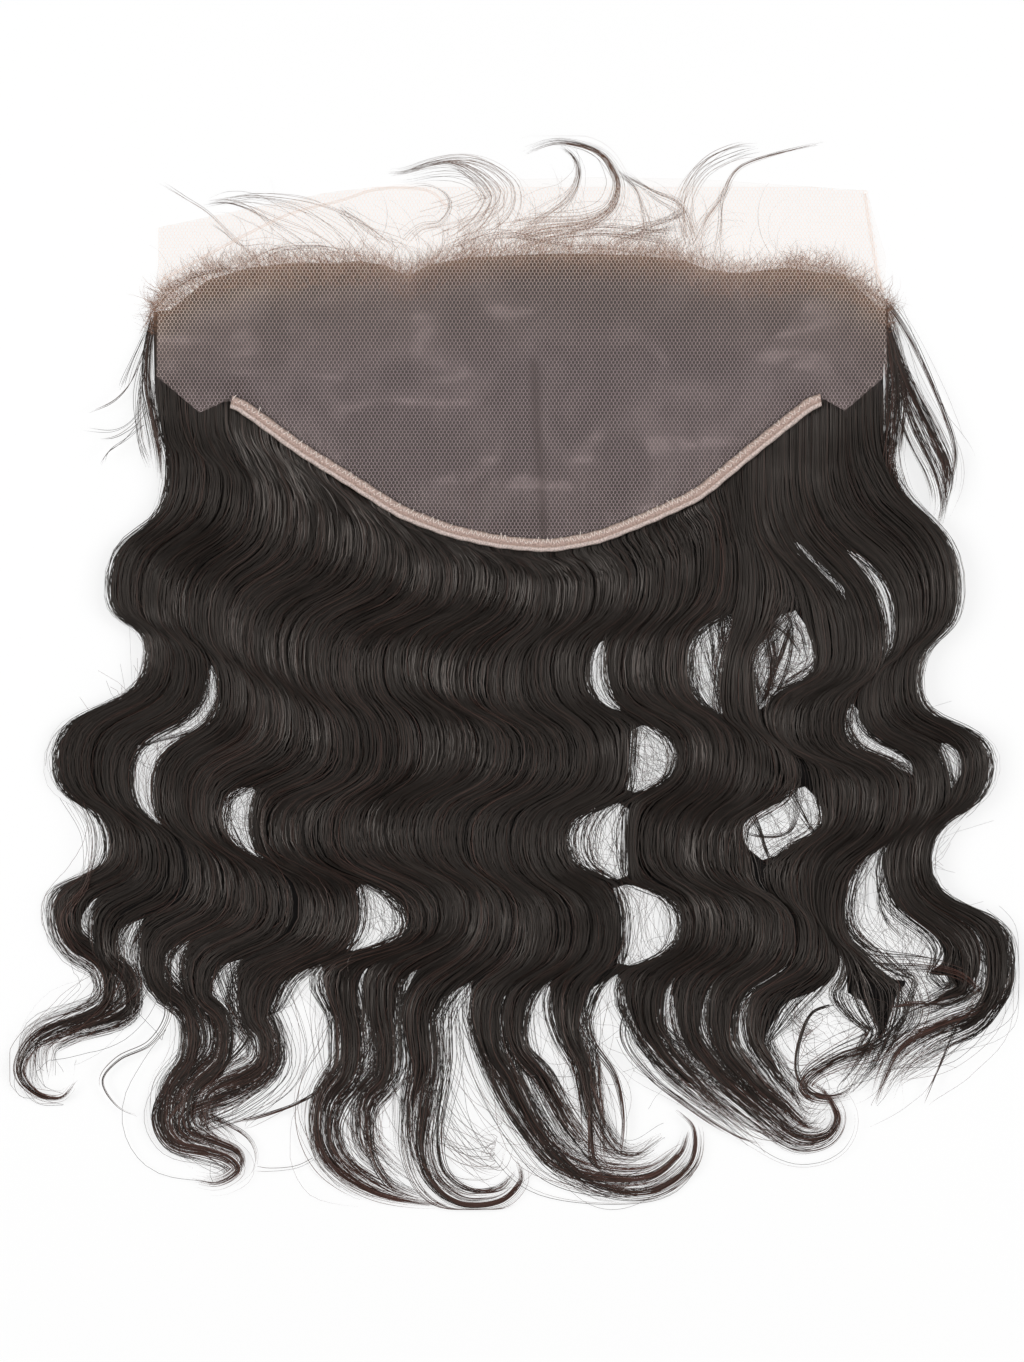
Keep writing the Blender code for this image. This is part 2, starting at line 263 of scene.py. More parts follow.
haze = add_node(film_look, "Math", "Value", {
    0: painted_net_sheen, 1: hair_under_film, 2: 0.055}, operation="MULTIPLY_ADD")
# paler over the bare margin, darker over the hair: painted light from the white table through the
# margin, and the knots with painted shade behind the hairline
film_colour_lit_and_shaded = add_ramp(film_look, hair_under_film, (
    (0.0, (0.80, 0.62, 0.50)), (1.0, (0.60, 0.48, 0.465))))
feed(film_shader, {"Alpha": haze, "Base Color": film_colour_lit_and_shaded})
net_ground = add_object("net_ground", film_mesh, film_look)
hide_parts("lace")

NET_PITCH = 0.00165     # across the flats of one mesh of the net
NET_LONG = 0.170
NET_ENDS_AT = 560.0
THREAD = 0.00012
THREADS_APART = 0.00004
THREAD_LIFT = 0.00012
TABLE_CLEARANCE = 0.00015


def fibres(name, paths, widths, tilts, tones, look):
    """Flat fibres along paths: a grid with every other column of faces taken out."""
    count, points = paths.shape[:2]
    strips = 2 * count - 1
    bm = bmesh.new()
    bm.loops.layers.uv.new("OFBake")
    bmesh.ops.create_grid(bm, x_segments=strips, y_segments=points - 1, size=0.5, calc_uvs=True)
    between_fibres = [face for number, face in enumerate(bm.faces) if number % strips % 2 == 1]
    bmesh.ops.delete(bm, geom=between_fibres, context="FACES")
    mesh = bpy.data.meshes.new(name)
    bm.to_mesh(mesh)
    bm.free()
    going = np.gradient(paths, axis=1)
    going /= np.linalg.norm(going, axis=2, keepdims=True) + 1e-12
    side = np.cross(going, np.array([0.0, 0.0, 1.0]))
    side /= np.linalg.norm(side, axis=2, keepdims=True) + 1e-9
    lean = np.cross(side, going)
    wide = side * np.cos(tilts)[..., None] + lean * np.sin(tilts)[..., None]
    half = 0.5 * widths[..., None] * wide
    spots = np.empty((points, count, 2, 3))
    spots[:, :, 0] = (paths - half).transpose(1, 0, 2)
    spots[:, :, 1] = (paths + half).transpose(1, 0, 2)
    spots[..., 2] = np.maximum(spots[..., 2], TABLE_CLEARANCE)
    mesh.vertices.foreach_set("co", spots.ravel())
    along = tones[None, :] if tones.ndim == 1 else tones.T
    both_edges = np.broadcast_to(along[..., None], (points, count, 2))
    tone = mesh.attributes.new("tone", "FLOAT", "POINT")
    tone.data.foreach_set("value", both_edges.ravel().copy())
    mesh.update()
    return add_object(name, mesh, look)


thread_look, thread_shader = plain_look("net_thread", (0.70, 0.55, 0.51), 0.7, 0.25)
knots_light_and_shade = add_node(thread_look, "Attribute", "Fac", attribute_name="tone")
# pale where the threads lie on the table, darker behind the hairline: painted light from the white
# table through the bare margin, then the knotted hair with painted shade over the hair
thread_colour_lit_and_shaded = add_ramp(thread_look, knots_light_and_shade, (
    (0.0, (0.97, 0.80, 0.70)), (0.35, (0.56, 0.44, 0.405)), (0.9, (0.52, 0.415, 0.425)),
    (1.0, (0.24, 0.18, 0.18))))
feed(thread_shader, {"Base Color": thread_colour_lit_and_shaded})

# two threads meet, run together for one side of a mesh, and part again
side_of_mesh = NET_PITCH / math.sqrt(3.0)
threads = 2 * int((EAR_TO_EAR[1] - EAR_TO_EAR[0]) / PARTS_WIDE * HAIR_WIDTH / NET_PITCH)
links = int(NET_LONG / (1.5 * side_of_mesh))
knot = np.arange(2 * links + 1)
step_up = knot // 2
number = np.arange(threads)
column = (number + 1) // 2
first_way = np.where(number % 2 == 0, 1.0, -1.0)
base_x = column[:, None] * NET_PITCH
swing = np.where(step_up % 2 == 0, 0.0, 0.5)[None, :] * first_way[:, None] * NET_PITCH
thread_x = base_x + swing + THREADS_APART * first_way[:, None]
thread_y = (step_up * 1.5 + (knot % 2) * 1.0) * side_of_mesh
left_x = place(EAR_TO_EAR[0], MIDDLE[1], 0.0)[0]
net_x = left_x + thread_x
down_the_net = np.broadcast_to(thread_y[None, :], net_x.shape)
net_down = NET_ENDS_AT - down_the_net / WHOLE_LENGTH * PARTS_LONG
net_across = net_x / HAIR_WIDTH * PARTS_WIDE + MIDDLE[0]
right_side = np.interp(net_down, [185, 300], [FRONT_CORNERS[1], EAR_TO_EAR[1]])
in_net = (net_down < read(BACK_HEM, net_across)) & (net_down > read(FRONT_EDGE, net_across))
in_net &= (net_across > EAR_TO_EAR[0]) & (net_across < right_side)
net_paths = place(net_across, net_down, net_height(net_across, net_down) + THREAD_LIFT)
keep = in_net.any(axis=1)
net_paths = net_paths[keep]
in_net = in_net[keep]
net_threads = fibres(
    "net_threads", net_paths, np.full(net_paths.shape[:2], THREAD), np.zeros(net_paths.shape[:2]),
    np.zeros(len(net_paths)), thread_look)
# the thread tone grows behind the hairline: pale in front is painted light through the bare margin,
# darker further back is the knots and painted shade over the hair
past_hairline = (net_down - read(HAIRLINE, net_across))[keep] / 130.0
# painted shade along the centre crease, where the net is also doubled: its threads get the darkest
# tone
crease_at = 530.0 + (net_down - 300.0) * 0.06
crease_shade = 0.9 * np.exp(-((net_across - crease_at) / 5.5) ** 2)
crease_shade = crease_shade * np.clip((net_down - 290.0) / 40.0, 0.0, 1.0)
shade = np.clip(past_hairline, 0.0, 0.9) + 0.1 * crease_shade[keep]
shade = np.repeat(shade.T.ravel(), 2)
net_threads.data.attributes["tone"].data.foreach_set("value", shade)
bm = bmesh.new()
bm.from_mesh(net_threads.data)
inside = in_net.T.ravel()
inside = np.repeat(inside, 2)
outside_faces = [face for face in bm.faces if not all(inside[vert.index] for vert in face.verts)]
bmesh.ops.delete(bm, geom=outside_faces, context="FACES")
bm.to_mesh(net_threads.data)
bm.free()

# the two lines where the bare margin was folded
FOLD_STEPS = 60
FOLD_WIDTH = 0.0013
FOLD_LIFT = 0.00022
fold_look, fold_shader = plain_look("net_fold", (0.84, 0.60, 0.46), 0.9, 0.1)
fold_shader.inputs["Alpha"].default_value = 0.22


def curve_through(points, steps):
    """A smooth line through a few places."""
    points = np.array(points, float)
    padded = np.vstack([2 * points[0] - points[1], points, 2 * points[-1] - points[-2]])
    spans = np.linspace(0.0, len(points) - 1.0001, steps)
    leg = spans.astype(int)
    u = (spans - leg)[:, None]
    a, b, c, d = (padded[leg + k] for k in range(4))
    return 0.5 * (
        2 * b + (c - a) * u + (2 * a - 5 * b + 4 * c - d) * u ** 2
        + (3 * b - a - 3 * c + d) * u ** 3)


FOLDS = (
    ((160, 279), (200, 257), (240, 236), (290, 212), (340, 199), (370, 189), (400, 186),
     (430, 190), (447, 205)),
    ((866, 192), (869, 215), (874, 245), (878, 270), (884, 290)),
)
fold_paths = []
for fold in FOLDS:
    line = curve_through(fold, FOLD_STEPS)
    height = net_height(line[:, 0], line[:, 1]) + FOLD_LIFT
    fold_paths.append(place(line[:, 0], line[:, 1], height))
net_folds = fibres(
    "net_folds", np.array(fold_paths), FOLD_WIDTH * np.ones((len(FOLDS), FOLD_STEPS)),
    np.zeros((len(FOLDS), FOLD_STEPS)), np.zeros(len(FOLDS)), fold_look)

# The binding tape along the back hem.
# A narrow woven tape, folded over the cut edge of the net and sewn down with a
# zigzag stitch. Its upper part is the fold, pinker, and its lower part the tape.
TAPE_WIDTH = 0.0060
TAPE_THICK = 0.0005
TAPE_SPAN = (231, 821)
TAPE_GRID = (220, 8)
TAPE_LIFT = 0.0016      # over the hair, so that it lies on the net
TAPE_CROWN = 0.0010
FOLD_STEP = 0.00035     # how much the folded part stands over the rest
FOLD_ROWS = 0.42
PAST_THE_HEM = 0.70     # share of its width that reaches past the hem


def hem_place(share):
    """Parts across and down along the hem, and the way down the tape's width."""
    across = TAPE_SPAN[0] + (TAPE_SPAN[1] - TAPE_SPAN[0]) * share
    ahead = read(BACK_HEM, across + 12)
    hem = 0.25 * (read(BACK_HEM, across - 12) + 2.0 * read(BACK_HEM, across) + ahead)
    steep = (read(BACK_HEM, across + 14) - read(BACK_HEM, across - 14)) / 28.0
    size = np.hypot(1.0, steep)
    return across, hem, -steep / size, 1.0 / size


bm = bmesh.new()
bm.loops.layers.uv.new("OFBake")
bmesh.ops.create_grid(bm, x_segments=TAPE_GRID[0], y_segments=TAPE_GRID[1], size=0.5, calc_uvs=True)
for vert in bm.verts:
    share = vert.co.x + 0.5
    row = 0.5 - vert.co.y
    across, hem, side_x, side_y = hem_place(share)
    reach = (PAST_THE_HEM - row) * TAPE_WIDTH / HAIR_WIDTH * PARTS_WIDE
    reach += 0.5 * math.sin(share * 190.0) * (row - 0.5)
    spot = (across - side_x * reach, hem - side_y * reach)
    crown = TAPE_CROWN * (1.0 - (2.0 * row - 1.0) ** 4) + 0.00012 * math.sin(share * 700.0)
    fold = FOLD_STEP if row < FOLD_ROWS else 0.0
    height = float(hair_top_under_net(*spot)) + TAPE_LIFT + crown + fold
    vert.co = place(spot[0], spot[1], height)
bmesh.ops.recalc_face_normals(bm, faces=bm.faces[:])
if sum(face.normal.z for face in bm.faces) < 0.0:
    bmesh.ops.reverse_faces(bm, faces=bm.faces[:])
tape_mesh = bpy.data.meshes.new("hem_tape")
bm.to_mesh(tape_mesh)
bm.free()
tape_look, tape_shader = plain_look("woven_tape", (0.60, 0.47, 0.37), 0.9, 0.15)
uv_of_tape = add_node(tape_look, "UVMap", "UV", uv_map="OFBake")
up_the_tape = add_node(tape_look, "SeparateXYZ", "Y", {0: uv_of_tape})
tape_bands = add_ramp(tape_look, up_the_tape, (
    (0.0, (0.50, 0.40, 0.35)), (0.08, (0.74, 0.61, 0.56)), (0.28, (0.72, 0.59, 0.54)),
    (0.36, (0.44, 0.31, 0.26)), (0.60, (0.55, 0.40, 0.35)), (0.90, (0.58, 0.44, 0.38)),
    (1.0, (0.50, 0.38, 0.33))))
stretch = add_node(tape_look, "Mapping", "Vector", {
    "Vector": uv_of_tape, "Scale": (260.0, 5.0, 1.0)})
weave = add_node(tape_look, "TexNoise", "Fac", {"Vector": stretch, "Scale": 1.4, "Detail": 3.0})
fleck = add_node(tape_look, "MapRange", "Result", {
    "Value": weave, "From Min": 0.30, "From Max": 0.70, "To Min": 0.55, "To Max": 1.22})
mottle = add_node(tape_look, "Mix", "Result", {
    "Factor": 1.0, "A": tape_bands, "B": fleck}, data_type="RGBA", blend_type="MULTIPLY")
tape_bump = add_node(tape_look, "Bump", "Normal", {
    "Strength": 0.5, "Distance": 0.0004, "Height": weave})
feed(tape_shader, {"Base Color": mottle, "Normal": tape_bump})
hem_tape = add_object("hem_tape", tape_mesh, tape_look)
thickness = hem_tape.modifiers.new("tape thickness", "SOLIDIFY")
thickness.thickness = TAPE_THICK
thickness.offset = -1.0
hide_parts("binding_tape")

STITCHES = 240
STITCH_POINTS = 6
STITCH_WIDTH = 0.00034
STITCH_LIFT = 0.0030
number = np.arange(STITCHES)
stitch_share = (number + 0.5) / STITCHES
over = np.linspace(-1.0, 1.0, STITCH_POINTS)[None, :]
leaning = np.where(number % 2 == 0, 1.0, -1.0)[:, None]
slip = np.random.default_rng(3).normal(0.0, 0.12, (STITCHES, 1))
along_hem = stitch_share[:, None] + leaning * over * 0.42 / STITCHES
across, hem, side_x, side_y = hem_place(along_hem)
reach = (0.42 + 0.5 * slip + (0.17 + 0.4 * slip) * over) * TAPE_WIDTH / HAIR_WIDTH * PARTS_WIDE
stitch_across = across - side_x * reach
stitch_down = hem - side_y * reach
stitch_height = hair_top_under_net(stitch_across, stitch_down) + STITCH_LIFT - 0.0004 * over ** 4
stitch_look, stitch_shader = plain_look("stitch_thread", (0.84, 0.74, 0.68), 0.6, 0.3)
tape_stitches = fibres(
    "tape_stitches", place(stitch_across, stitch_down, stitch_height),
    np.full((STITCHES, STITCH_POINTS), STITCH_WIDTH), np.zeros((STITCHES, STITCH_POINTS)),
    np.zeros(STITCHES), stitch_look)

# The locks of hair under the loose strands.
# Eighteen locks of dark body wave hair, knotted from the hairline to the hem, fan
# out and fall in waves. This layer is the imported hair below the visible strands.
LOCKS = (
    # hairline, hem, bend, right 1, left 1, right 2, left 2,
    # right 3, left 3, right 4, left 4, last bend, tip
    ("left edge", (170, 316), (172, 392), (176, 432), (186, 472), (124, 590), (160, 655), (74, 760),
     (124, 846), (66, 912), (108, 992), (28, 1052), (34, 1092), (64, 1096)),
    ("left inner", (208, 290), (205, 415), (214, 452), (232, 488), (160, 600), (190, 672),
     (112, 772), (160, 864), (102, 935), (130, 1003), (62, 1036), (44, 1058), (46, 1078)),
    ("hook outer", (246, 277), (242, 413), (258, 460), (272, 508), (210, 618), (236, 693),
     (170, 792), (215, 885), (152, 962), (192, 1035), (166, 1118), (190, 1152), (212, 1166)),
    ("hook middle", (286, 269), (290, 449), (312, 488), (325, 532), (248, 638), (280, 720),
     (207, 808), (266, 905), (196, 978), (224, 1038), (184, 1116), (208, 1146), (230, 1168)),
    ("hook inner", (335, 262), (340, 481), (366, 512), (384, 552), (304, 655), (342, 750),
     (268, 828), (336, 914), (252, 1005), (266, 1050), (203, 1112), (225, 1140), (242, 1172)),
    ("left curl outer", (385, 256), (394, 515), (422, 542), (438, 580), (358, 664), (388, 750),
     (338, 832), (428, 922), (343, 985), (350, 1050), (323, 1125), (345, 1175), (398, 1202)),
    ("left curl middle", (430, 252), (435, 532), (464, 550), (478, 578), (408, 662), (452, 745),
     (388, 832), (454, 912), (380, 988), (386, 1060), (362, 1122), (382, 1164), (428, 1194)),
    ("left curl inner", (478, 249), (475, 544), (500, 558), (515, 580), (450, 680), (505, 750),
     (440, 835), (488, 915), (422, 1000), (421, 1068), (412, 1122), (432, 1172), (486, 1196)),
    ("middle curl outer", (522, 247), (515, 550), (536, 566), (548, 590), (505, 685), (553, 758),
     (490, 840), (538, 930), (487, 1022), (512, 1085), (552, 1148), (612, 1192), (690, 1158)),
    ("middle curl middle", (560, 247), (552, 553), (570, 568), (581, 590), (538, 672), (587, 758),
     (524, 840), (575, 930), (512, 1018), (545, 1082), (576, 1134), (618, 1174), (676, 1148)),
    ("middle curl inner", (598, 247), (590, 546), (602, 562), (610, 585), (563, 668), (612, 762),
     (549, 840), (606, 930), (566, 1010), (583, 1066), (596, 1120), (626, 1156), (662, 1138)),
    ("middle wisp", (650, 250), (650, 524), (660, 548), (668, 577), (630, 672), (695, 752),
     (645, 842), (698, 925), (645, 1002), (662, 1052), (700, 1092), (728, 1118), (752, 1140)),
    ("right curl outer", (700, 254), (700, 501), (714, 524), (718, 560), (672, 668), (727, 755),
     (682, 850), (738, 925), (688, 1008), (712, 1066), (765, 1116), (803, 1144), (838, 1126)),
    ("right curl middle", (738, 259), (745, 463), (748, 525), (758, 590), (738, 690), (764, 768),
     (712, 850), (775, 925), (722, 1020), (750, 1078), (780, 1106), (808, 1128), (830, 1112)),
    ("right curl inner", (772, 263), (768, 445), (772, 530), (838, 650), (782, 725), (848, 795),
     (806, 882), (818, 945), (757, 1022), (776, 1070), (796, 1094), (812, 1111), (824, 1098)),
    ("right loop", (808, 269), (793, 425), (802, 520), (874, 650), (832, 725), (893, 795),
     (830, 910), (862, 968), (884, 1015), (872, 1055), (856, 1078), (848, 1088), (842, 1097)),
    ("right inner", (845, 282), (826, 413), (832, 505), (907, 620), (872, 702), (936, 782),
     (903, 868), (962, 945), (966, 980), (938, 1002), (916, 1012), (904, 1018), (894, 1026)),
    ("right edge", (878, 312), (867, 410), (882, 480), (944, 590), (907, 684), (974, 765),
     (922, 862), (1000, 955), (984, 1014), (934, 1040), (904, 1062), (886, 1086), (874, 1106)),
)
# From these turns on the locks part, and have half widths of their own, given
# at left 3, right 4, left 4, last bend and tip.
LOOSE_FROM = 7.6
LOOSE_BY = 8.4
LOOSE_WIDTHS = (
    (20, 11, 9, 7, 3), (14, 11, 8, 6, 3), (12, 11, 9, 7, 3), (12, 10, 8, 7, 3), (20, 15, 9, 7, 3),
    (17, 18, 11, 9, 4), (19, 14, 10, 8, 4), (20, 17, 12, 10, 5), (13, 11, 10, 8, 4),
    (11, 10, 9, 7, 3), (16, 12, 9, 7, 3), (20, 13, 9, 6, 3), (17, 13, 9, 7, 4),
    (13, 10, 8, 6, 3), (14, 10, 8, 6, 3), (16, 14, 10, 7, 4), (13, 10, 8, 5, 3), (16, 13, 10, 7, 4),
)
# Half widths of the two outermost locks on their open side, at each turn.
LEFT_OUT = (18, 18, 18, 20, 17, 15, 24, 21, 22, 11, 9, 7, 3)
RIGHT_OUT = (12, 18, 19, 19, 14, 23, 10, 17, 16, 13, 10, 7, 4)
# Gaps in the body: the lock on its right (counted from 0), from turn, to turn,
# share of the pitch.
GAPS = (
    (2, 4.8, 6.5, 0.30), (4, 5.7, 6.4, 0.42), (5, 6.7, 7.4, 0.42), (11, 3.7, 4.5, 0.14),
    (11, 4.72, 5.36, 0.42), (11, 5.6, 6.4, 0.50), (11, 6.5, 7.5, 0.55), (13, 3.3, 4.4, 0.42),
    (14, 2.95, 4.0, 0.66), (14, 5.05, 5.95, 0.60), (15, 2.1, 2.75, 0.22), (16, 2.35, 3.25, 0.28),
    (16, 3.9, 4.9, 0.35), (17, 4.7, 5.1, 0.30), (16, 5.6, 7.6, 0.60),
)
ROUNDNESS = 1.9
CREST_LIFT = 0.0125
TIP_LIFT = 0.0030
LAST_TURN = 12.0
PER_TURN = 40
TURNS = np.linspace(0.0, LAST_TURN, int(LAST_TURN) * PER_TURN + 1)


def lock_middle(lock):
    """Middle line of a lock at all TURNS: upright where the wave turns back."""
    points = np.array(LOCKS[lock][1:], float)
    last = len(points) - 1
    found = np.zeros((len(TURNS), 2))
    for number, t in enumerate(TURNS):
        turn = min(int(t), last - 1)
        s = t - turn
        chord = points[turn + 1] - points[turn]
        pulls = []
        for here in (turn, turn + 1):
            before = points[max(here - 1, 0)]
            after = points[min(here + 1, last)]
            if (after[0] - points[here][0]) * (points[here][0] - before[0]) < 0.0:
                pulls.append(np.array([0.0, abs(chord[1]) * ROUNDNESS]))
            else:
                free = after - before
                pulls.append(free * np.linalg.norm(chord) / np.linalg.norm(free))
        found[number] = (
            points[turn] * (2 * s ** 3 - 3 * s ** 2 + 1) + pulls[0] * (s ** 3 - 2 * s ** 2 + s)
            + points[turn + 1] * (3 * s ** 2 - 2 * s ** 3) + pulls[1] * (s ** 3 - s ** 2))
    return found


middles = [lock_middle(lock) for lock in range(len(LOCKS))]
loose = np.clip((TURNS - LOOSE_FROM) / (LOOSE_BY - LOOSE_FROM), 0.0, 1.0)
loose = (loose * loose * (3.0 - 2.0 * loose))[:, None]


def lock_side(lock, side, gap_scale):
    """From a lock's middle to one of its edges, at all TURNS."""
    middle = middles[lock]
    going = np.gradient(middle, axis=0)
    going /= np.linalg.norm(going, axis=1, keepdims=True)
    normal = np.stack([going[:, 1], -going[:, 0]], axis=1)
    other = lock + side
    if 0 <= other < len(LOCKS):
        share = np.zeros(len(TURNS))
        for right_lock, start, end, wide in GAPS:
            if right_lock - 1 == min(lock, other):
                within = np.clip((TURNS - start) / (end - start), 0.0, 1.0)
                share = np.maximum(share, wide * np.sin(math.pi * within) ** 0.85)
        step = (middles[other] - middle) * (0.5 * (1.0 - share * gap_scale))[:, None]
        wide = np.interp(TURNS, range(8, 13), LOOSE_WIDTHS[lock])[:, None]
        return step + (side * normal * wide - step) * loose
    out = np.interp(TURNS, range(13), LEFT_OUT if side < 0 else RIGHT_OUT)[:, None]
    plain = np.array([[side, 0.0]]) * out
    return plain + (side * normal * out - plain) * loose


left_sides = [lock_side(lock, -1, 1.0) for lock in range(len(LOCKS))]
right_sides = [lock_side(lock, 1, 1.0) for lock in range(len(LOCKS))]
left_whole = [lock_side(lock, -1, 0.25) for lock in range(len(LOCKS))]
right_whole = [lock_side(lock, 1, 0.25) for lock in range(len(LOCKS))]


def crest(lock):
    """Top of a lock's middle at all TURNS."""
    rise = np.clip((TURNS - 1.0) / 1.5, 0.0, 1.0)
    fall = np.clip((TURNS - 5.0) / 7.0, 0.0, 1.0) ** 0.8
    full = CREST_LIFT + (TIP_LIFT - CREST_LIFT) * fall
    uneven = 1.0 + (0.06 if lock % 2 else -0.06) * rise
    return (HEM_LIFT + (full - HEM_LIFT) * rise) * uneven


crests = [crest(lock) for lock in range(len(LOCKS))]


def at_turn(values, t):
    """Values kept at TURNS, read at any turns t."""
    spot = np.clip(t, 0.0, LAST_TURN) * PER_TURN
    low = np.minimum(spot.astype(int), len(TURNS) - 2)
    rest = spot - low
    if values.ndim == 2:
        rest = rest[..., None]
    return values[low] * (1.0 - rest) + values[low + 1] * rest


def lock_spot(lock, s, t, stray):
    """Parts across and down of a strand at share s of the lock's width."""
    middle = at_turn(middles[lock], t)
    left = at_turn(left_sides[lock], t) * (1.0 - stray) + at_turn(left_whole[lock], t) * stray
    right = at_turn(right_sides[lock], t) * (1.0 - stray) + at_turn(right_whole[lock], t) * stray
    return middle + np.where((s < 0.0)[..., None], left * -s[..., None], right * s[..., None])


def lock_height(lock, s, t, across, down):
    """Height of the lock's outer surface."""
    groove = np.interp(t, [1.0, 6.0, 9.0], [0.84, 0.76, 0.45])
    outer_side = ((lock == 0) & (s < 0.0)) | ((lock == len(LOCKS) - 1) & (s > 0.0))
    groove = np.where(outer_side, 0.25, groove)
    arch = groove + (1.0 - groove) * (1.0 - np.minimum(np.abs(s), 1.0) ** 2.2)
    rise = np.clip(t - 1.0, 0.0, 1.0)
    loose_top = at_turn(crests[lock], t) * (1.0 + (arch - 1.0) * rise)
    net_top = hair_top_under_net(across, down)
    return np.where(t <= 1.0, net_top, loose_top)


under_look, under_shader = plain_look("hair_shadow", (0.0040, 0.0033, 0.0033), 0.75, 0.12)
behind_hairline = add_node(under_look, "Attribute", "Fac", attribute_name="behind_hairline")
over_the_hair = add_node(under_look, "TexCoord", "Object")
root_clumps = add_node(under_look, "TexNoise", "Fac", {
    "Vector": over_the_hair, "Scale": 90.0, "Detail": 4.0})
uneven_roots = add_node(under_look, "Math", "Value", {
    0: root_clumps, 1: 0.30, 2: behind_hairline}, operation="MULTIPLY_ADD")
root_shade = add_ramp(under_look, uneven_roots, (
    (0.14, (0.30, 0.225, 0.180)), (0.22, (0.150, 0.108, 0.086)), (0.32, (0.080, 0.059, 0.050)),
    (0.52, (0.048, 0.039, 0.037)), (0.92, (0.040, 0.033, 0.032)), (1.0, (0.0050, 0.0040, 0.0038))))
feed(under_shader, {"Base Color": root_shade})
# where the knots grow dense enough to hide the table, and how far back they stay brown
DENSE_KNOTS = (
    (150, 317), (165, 295), (200, 276), (240, 265), (300, 264), (350, 261), (385, 267), (406, 278),
    (430, 266), (470, 259), (560, 255), (640, 257), (685, 262), (710, 272), (740, 275), (790, 269),
    (830, 270), (860, 283), (890, 308),
)
BROWN_ZONE = ((150, 120), (400, 66), (520, 40), (700, 62), (890, 100))
# how far in front of the hairline the knots begin near the ears
EARLY_KNOTS = (
    (150, 5), (200, 12), (250, 10), (300, 6), (335, 0), (810, 0), (845, 8), (875, 8), (890, 4),
)
UNDER_ROWS = 140
UNDER_COLUMNS = 6
LOWEST_UNDER = 0.0003
bm = bmesh.new()
bm.loops.layers.uv.new("OFBake")
strips = (UNDER_COLUMNS + 1) * len(LOCKS) - 1
bmesh.ops.create_grid(bm, x_segments=strips, y_segments=UNDER_ROWS, size=0.5, calc_uvs=True)
seams = [face for number, face in enumerate(bm.faces)
         if number % strips % (UNDER_COLUMNS + 1) == UNDER_COLUMNS]
bmesh.ops.delete(bm, geom=seams, context="FACES")
under_mesh = bpy.data.meshes.new("packed_hair")
bm.to_mesh(under_mesh)
bm.free()
spots = np.empty((UNDER_ROWS + 1, len(LOCKS), UNDER_COLUMNS + 1, 3))
distance = np.empty((UNDER_ROWS + 1, len(LOCKS), UNDER_COLUMNS + 1))
for lock in range(len(LOCKS)):
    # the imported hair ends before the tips, sooner in the open locks on the right
    last_turn = 9.9 if lock < 14 else 9.2 if lock in (14, 16) else 8.5
    for column in range(UNDER_COLUMNS + 1):
        s = 2.0 * column / UNDER_COLUMNS - 1.0
        side = -1 if s < 0 else 1
        neighbour = lock + side
        net_ends = lock_spot(lock, np.array([s, s]), np.array([0.0, 1.0]), np.zeros((2, 1)))
        first_turn = read(DENSE_KNOTS, net_ends[0, 0]) - 3.0 - net_ends[0, 1]
        first_turn = max(first_turn / (net_ends[1, 1] - net_ends[0, 1]), 0.0)
        t = first_turn + (last_turn - first_turn) * np.linspace(0.0, 1.0, UNDER_ROWS + 1) ** 1.25
        if 0 <= neighbour < len(LOCKS):
            sides = left_sides if side < 0 else right_sides
            real = np.linalg.norm(at_turn(sides[lock], t), axis=1)
            touch = 0.5 * np.linalg.norm(at_turn(middles[neighbour] - middles[lock], t), axis=1)
            joined = np.clip((real / touch - 0.86) / 0.12, 0.0, 1.0)
        else:
            joined = np.zeros(len(t))
        fill = 0.74 + 0.34 * joined
        fill *= np.interp(t - last_turn, [-2.4, -1.4, -0.6, 0.0], [1.0, 0.70, 0.50, 0.1])
        fill = fill + (1.0 - fill) * np.interp(t, [1.0, 2.2], [1.0, 0.0])
        share = np.full(len(t), s) * fill
        spot = lock_spot(lock, share, t, np.zeros(len(t))[:, None])
        spot[:, 1] -= read(EARLY_KNOTS, spot[:, 0]) * np.clip(1.0 - t, 0.0, 1.0) ** 2
        top = lock_height(lock, share, t, spot[:, 0], spot[:, 1])
        depth = 0.56 + 0.18 * joined
        if column in (0, UNDER_COLUMNS):
            depth = depth * (0.15 + 0.85 * joined)
        height = np.maximum(top * depth, LOWEST_UNDER)
        spots[:, lock, column] = place(spot[:, 0], spot[:, 1], height)
        behind = 0.6 * (spot[:, 1] - read(DENSE_KNOTS, spot[:, 0])) / read(BROWN_ZONE, spot[:, 0])
        distance[:, lock, column] = np.clip(behind, 0.0, 0.6) + np.clip((t - 1.02) * 10.0, 0.0, 1.0)
under_mesh.vertices.foreach_set("co", spots.ravel())
distances = under_mesh.attributes.new("behind_hairline", "FLOAT", "POINT")
distances.data.foreach_set("value", distance.ravel())
under_mesh.update()
under_mesh.flip_normals()
packed_hair = add_object("packed_hair", under_mesh, under_look)
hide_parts("hair")

# The visible strands of the locks.
# Thousands of near black hairs with a warm brown cast where the light passes,
# lying side by side in the waves and thinning out towards the tips.
STRANDS_PER_PART = 4.5
STRAND_POINTS = 66
STRAND_WIDTH = 0.00034
CLUMPS = 11             # clumps that the strands of one lock stick together in
strand_look, strand_shader = plain_look("dark_hair", (0.012, 0.010, 0.009), 0.35, 0.50)
across_the_hair = add_node(
    strand_look, "Tangent", "Tangent", direction_type="UV_MAP", uv_map="OFBake")
tone_of_strand = add_node(strand_look, "Attribute", "Fac", attribute_name="tone")
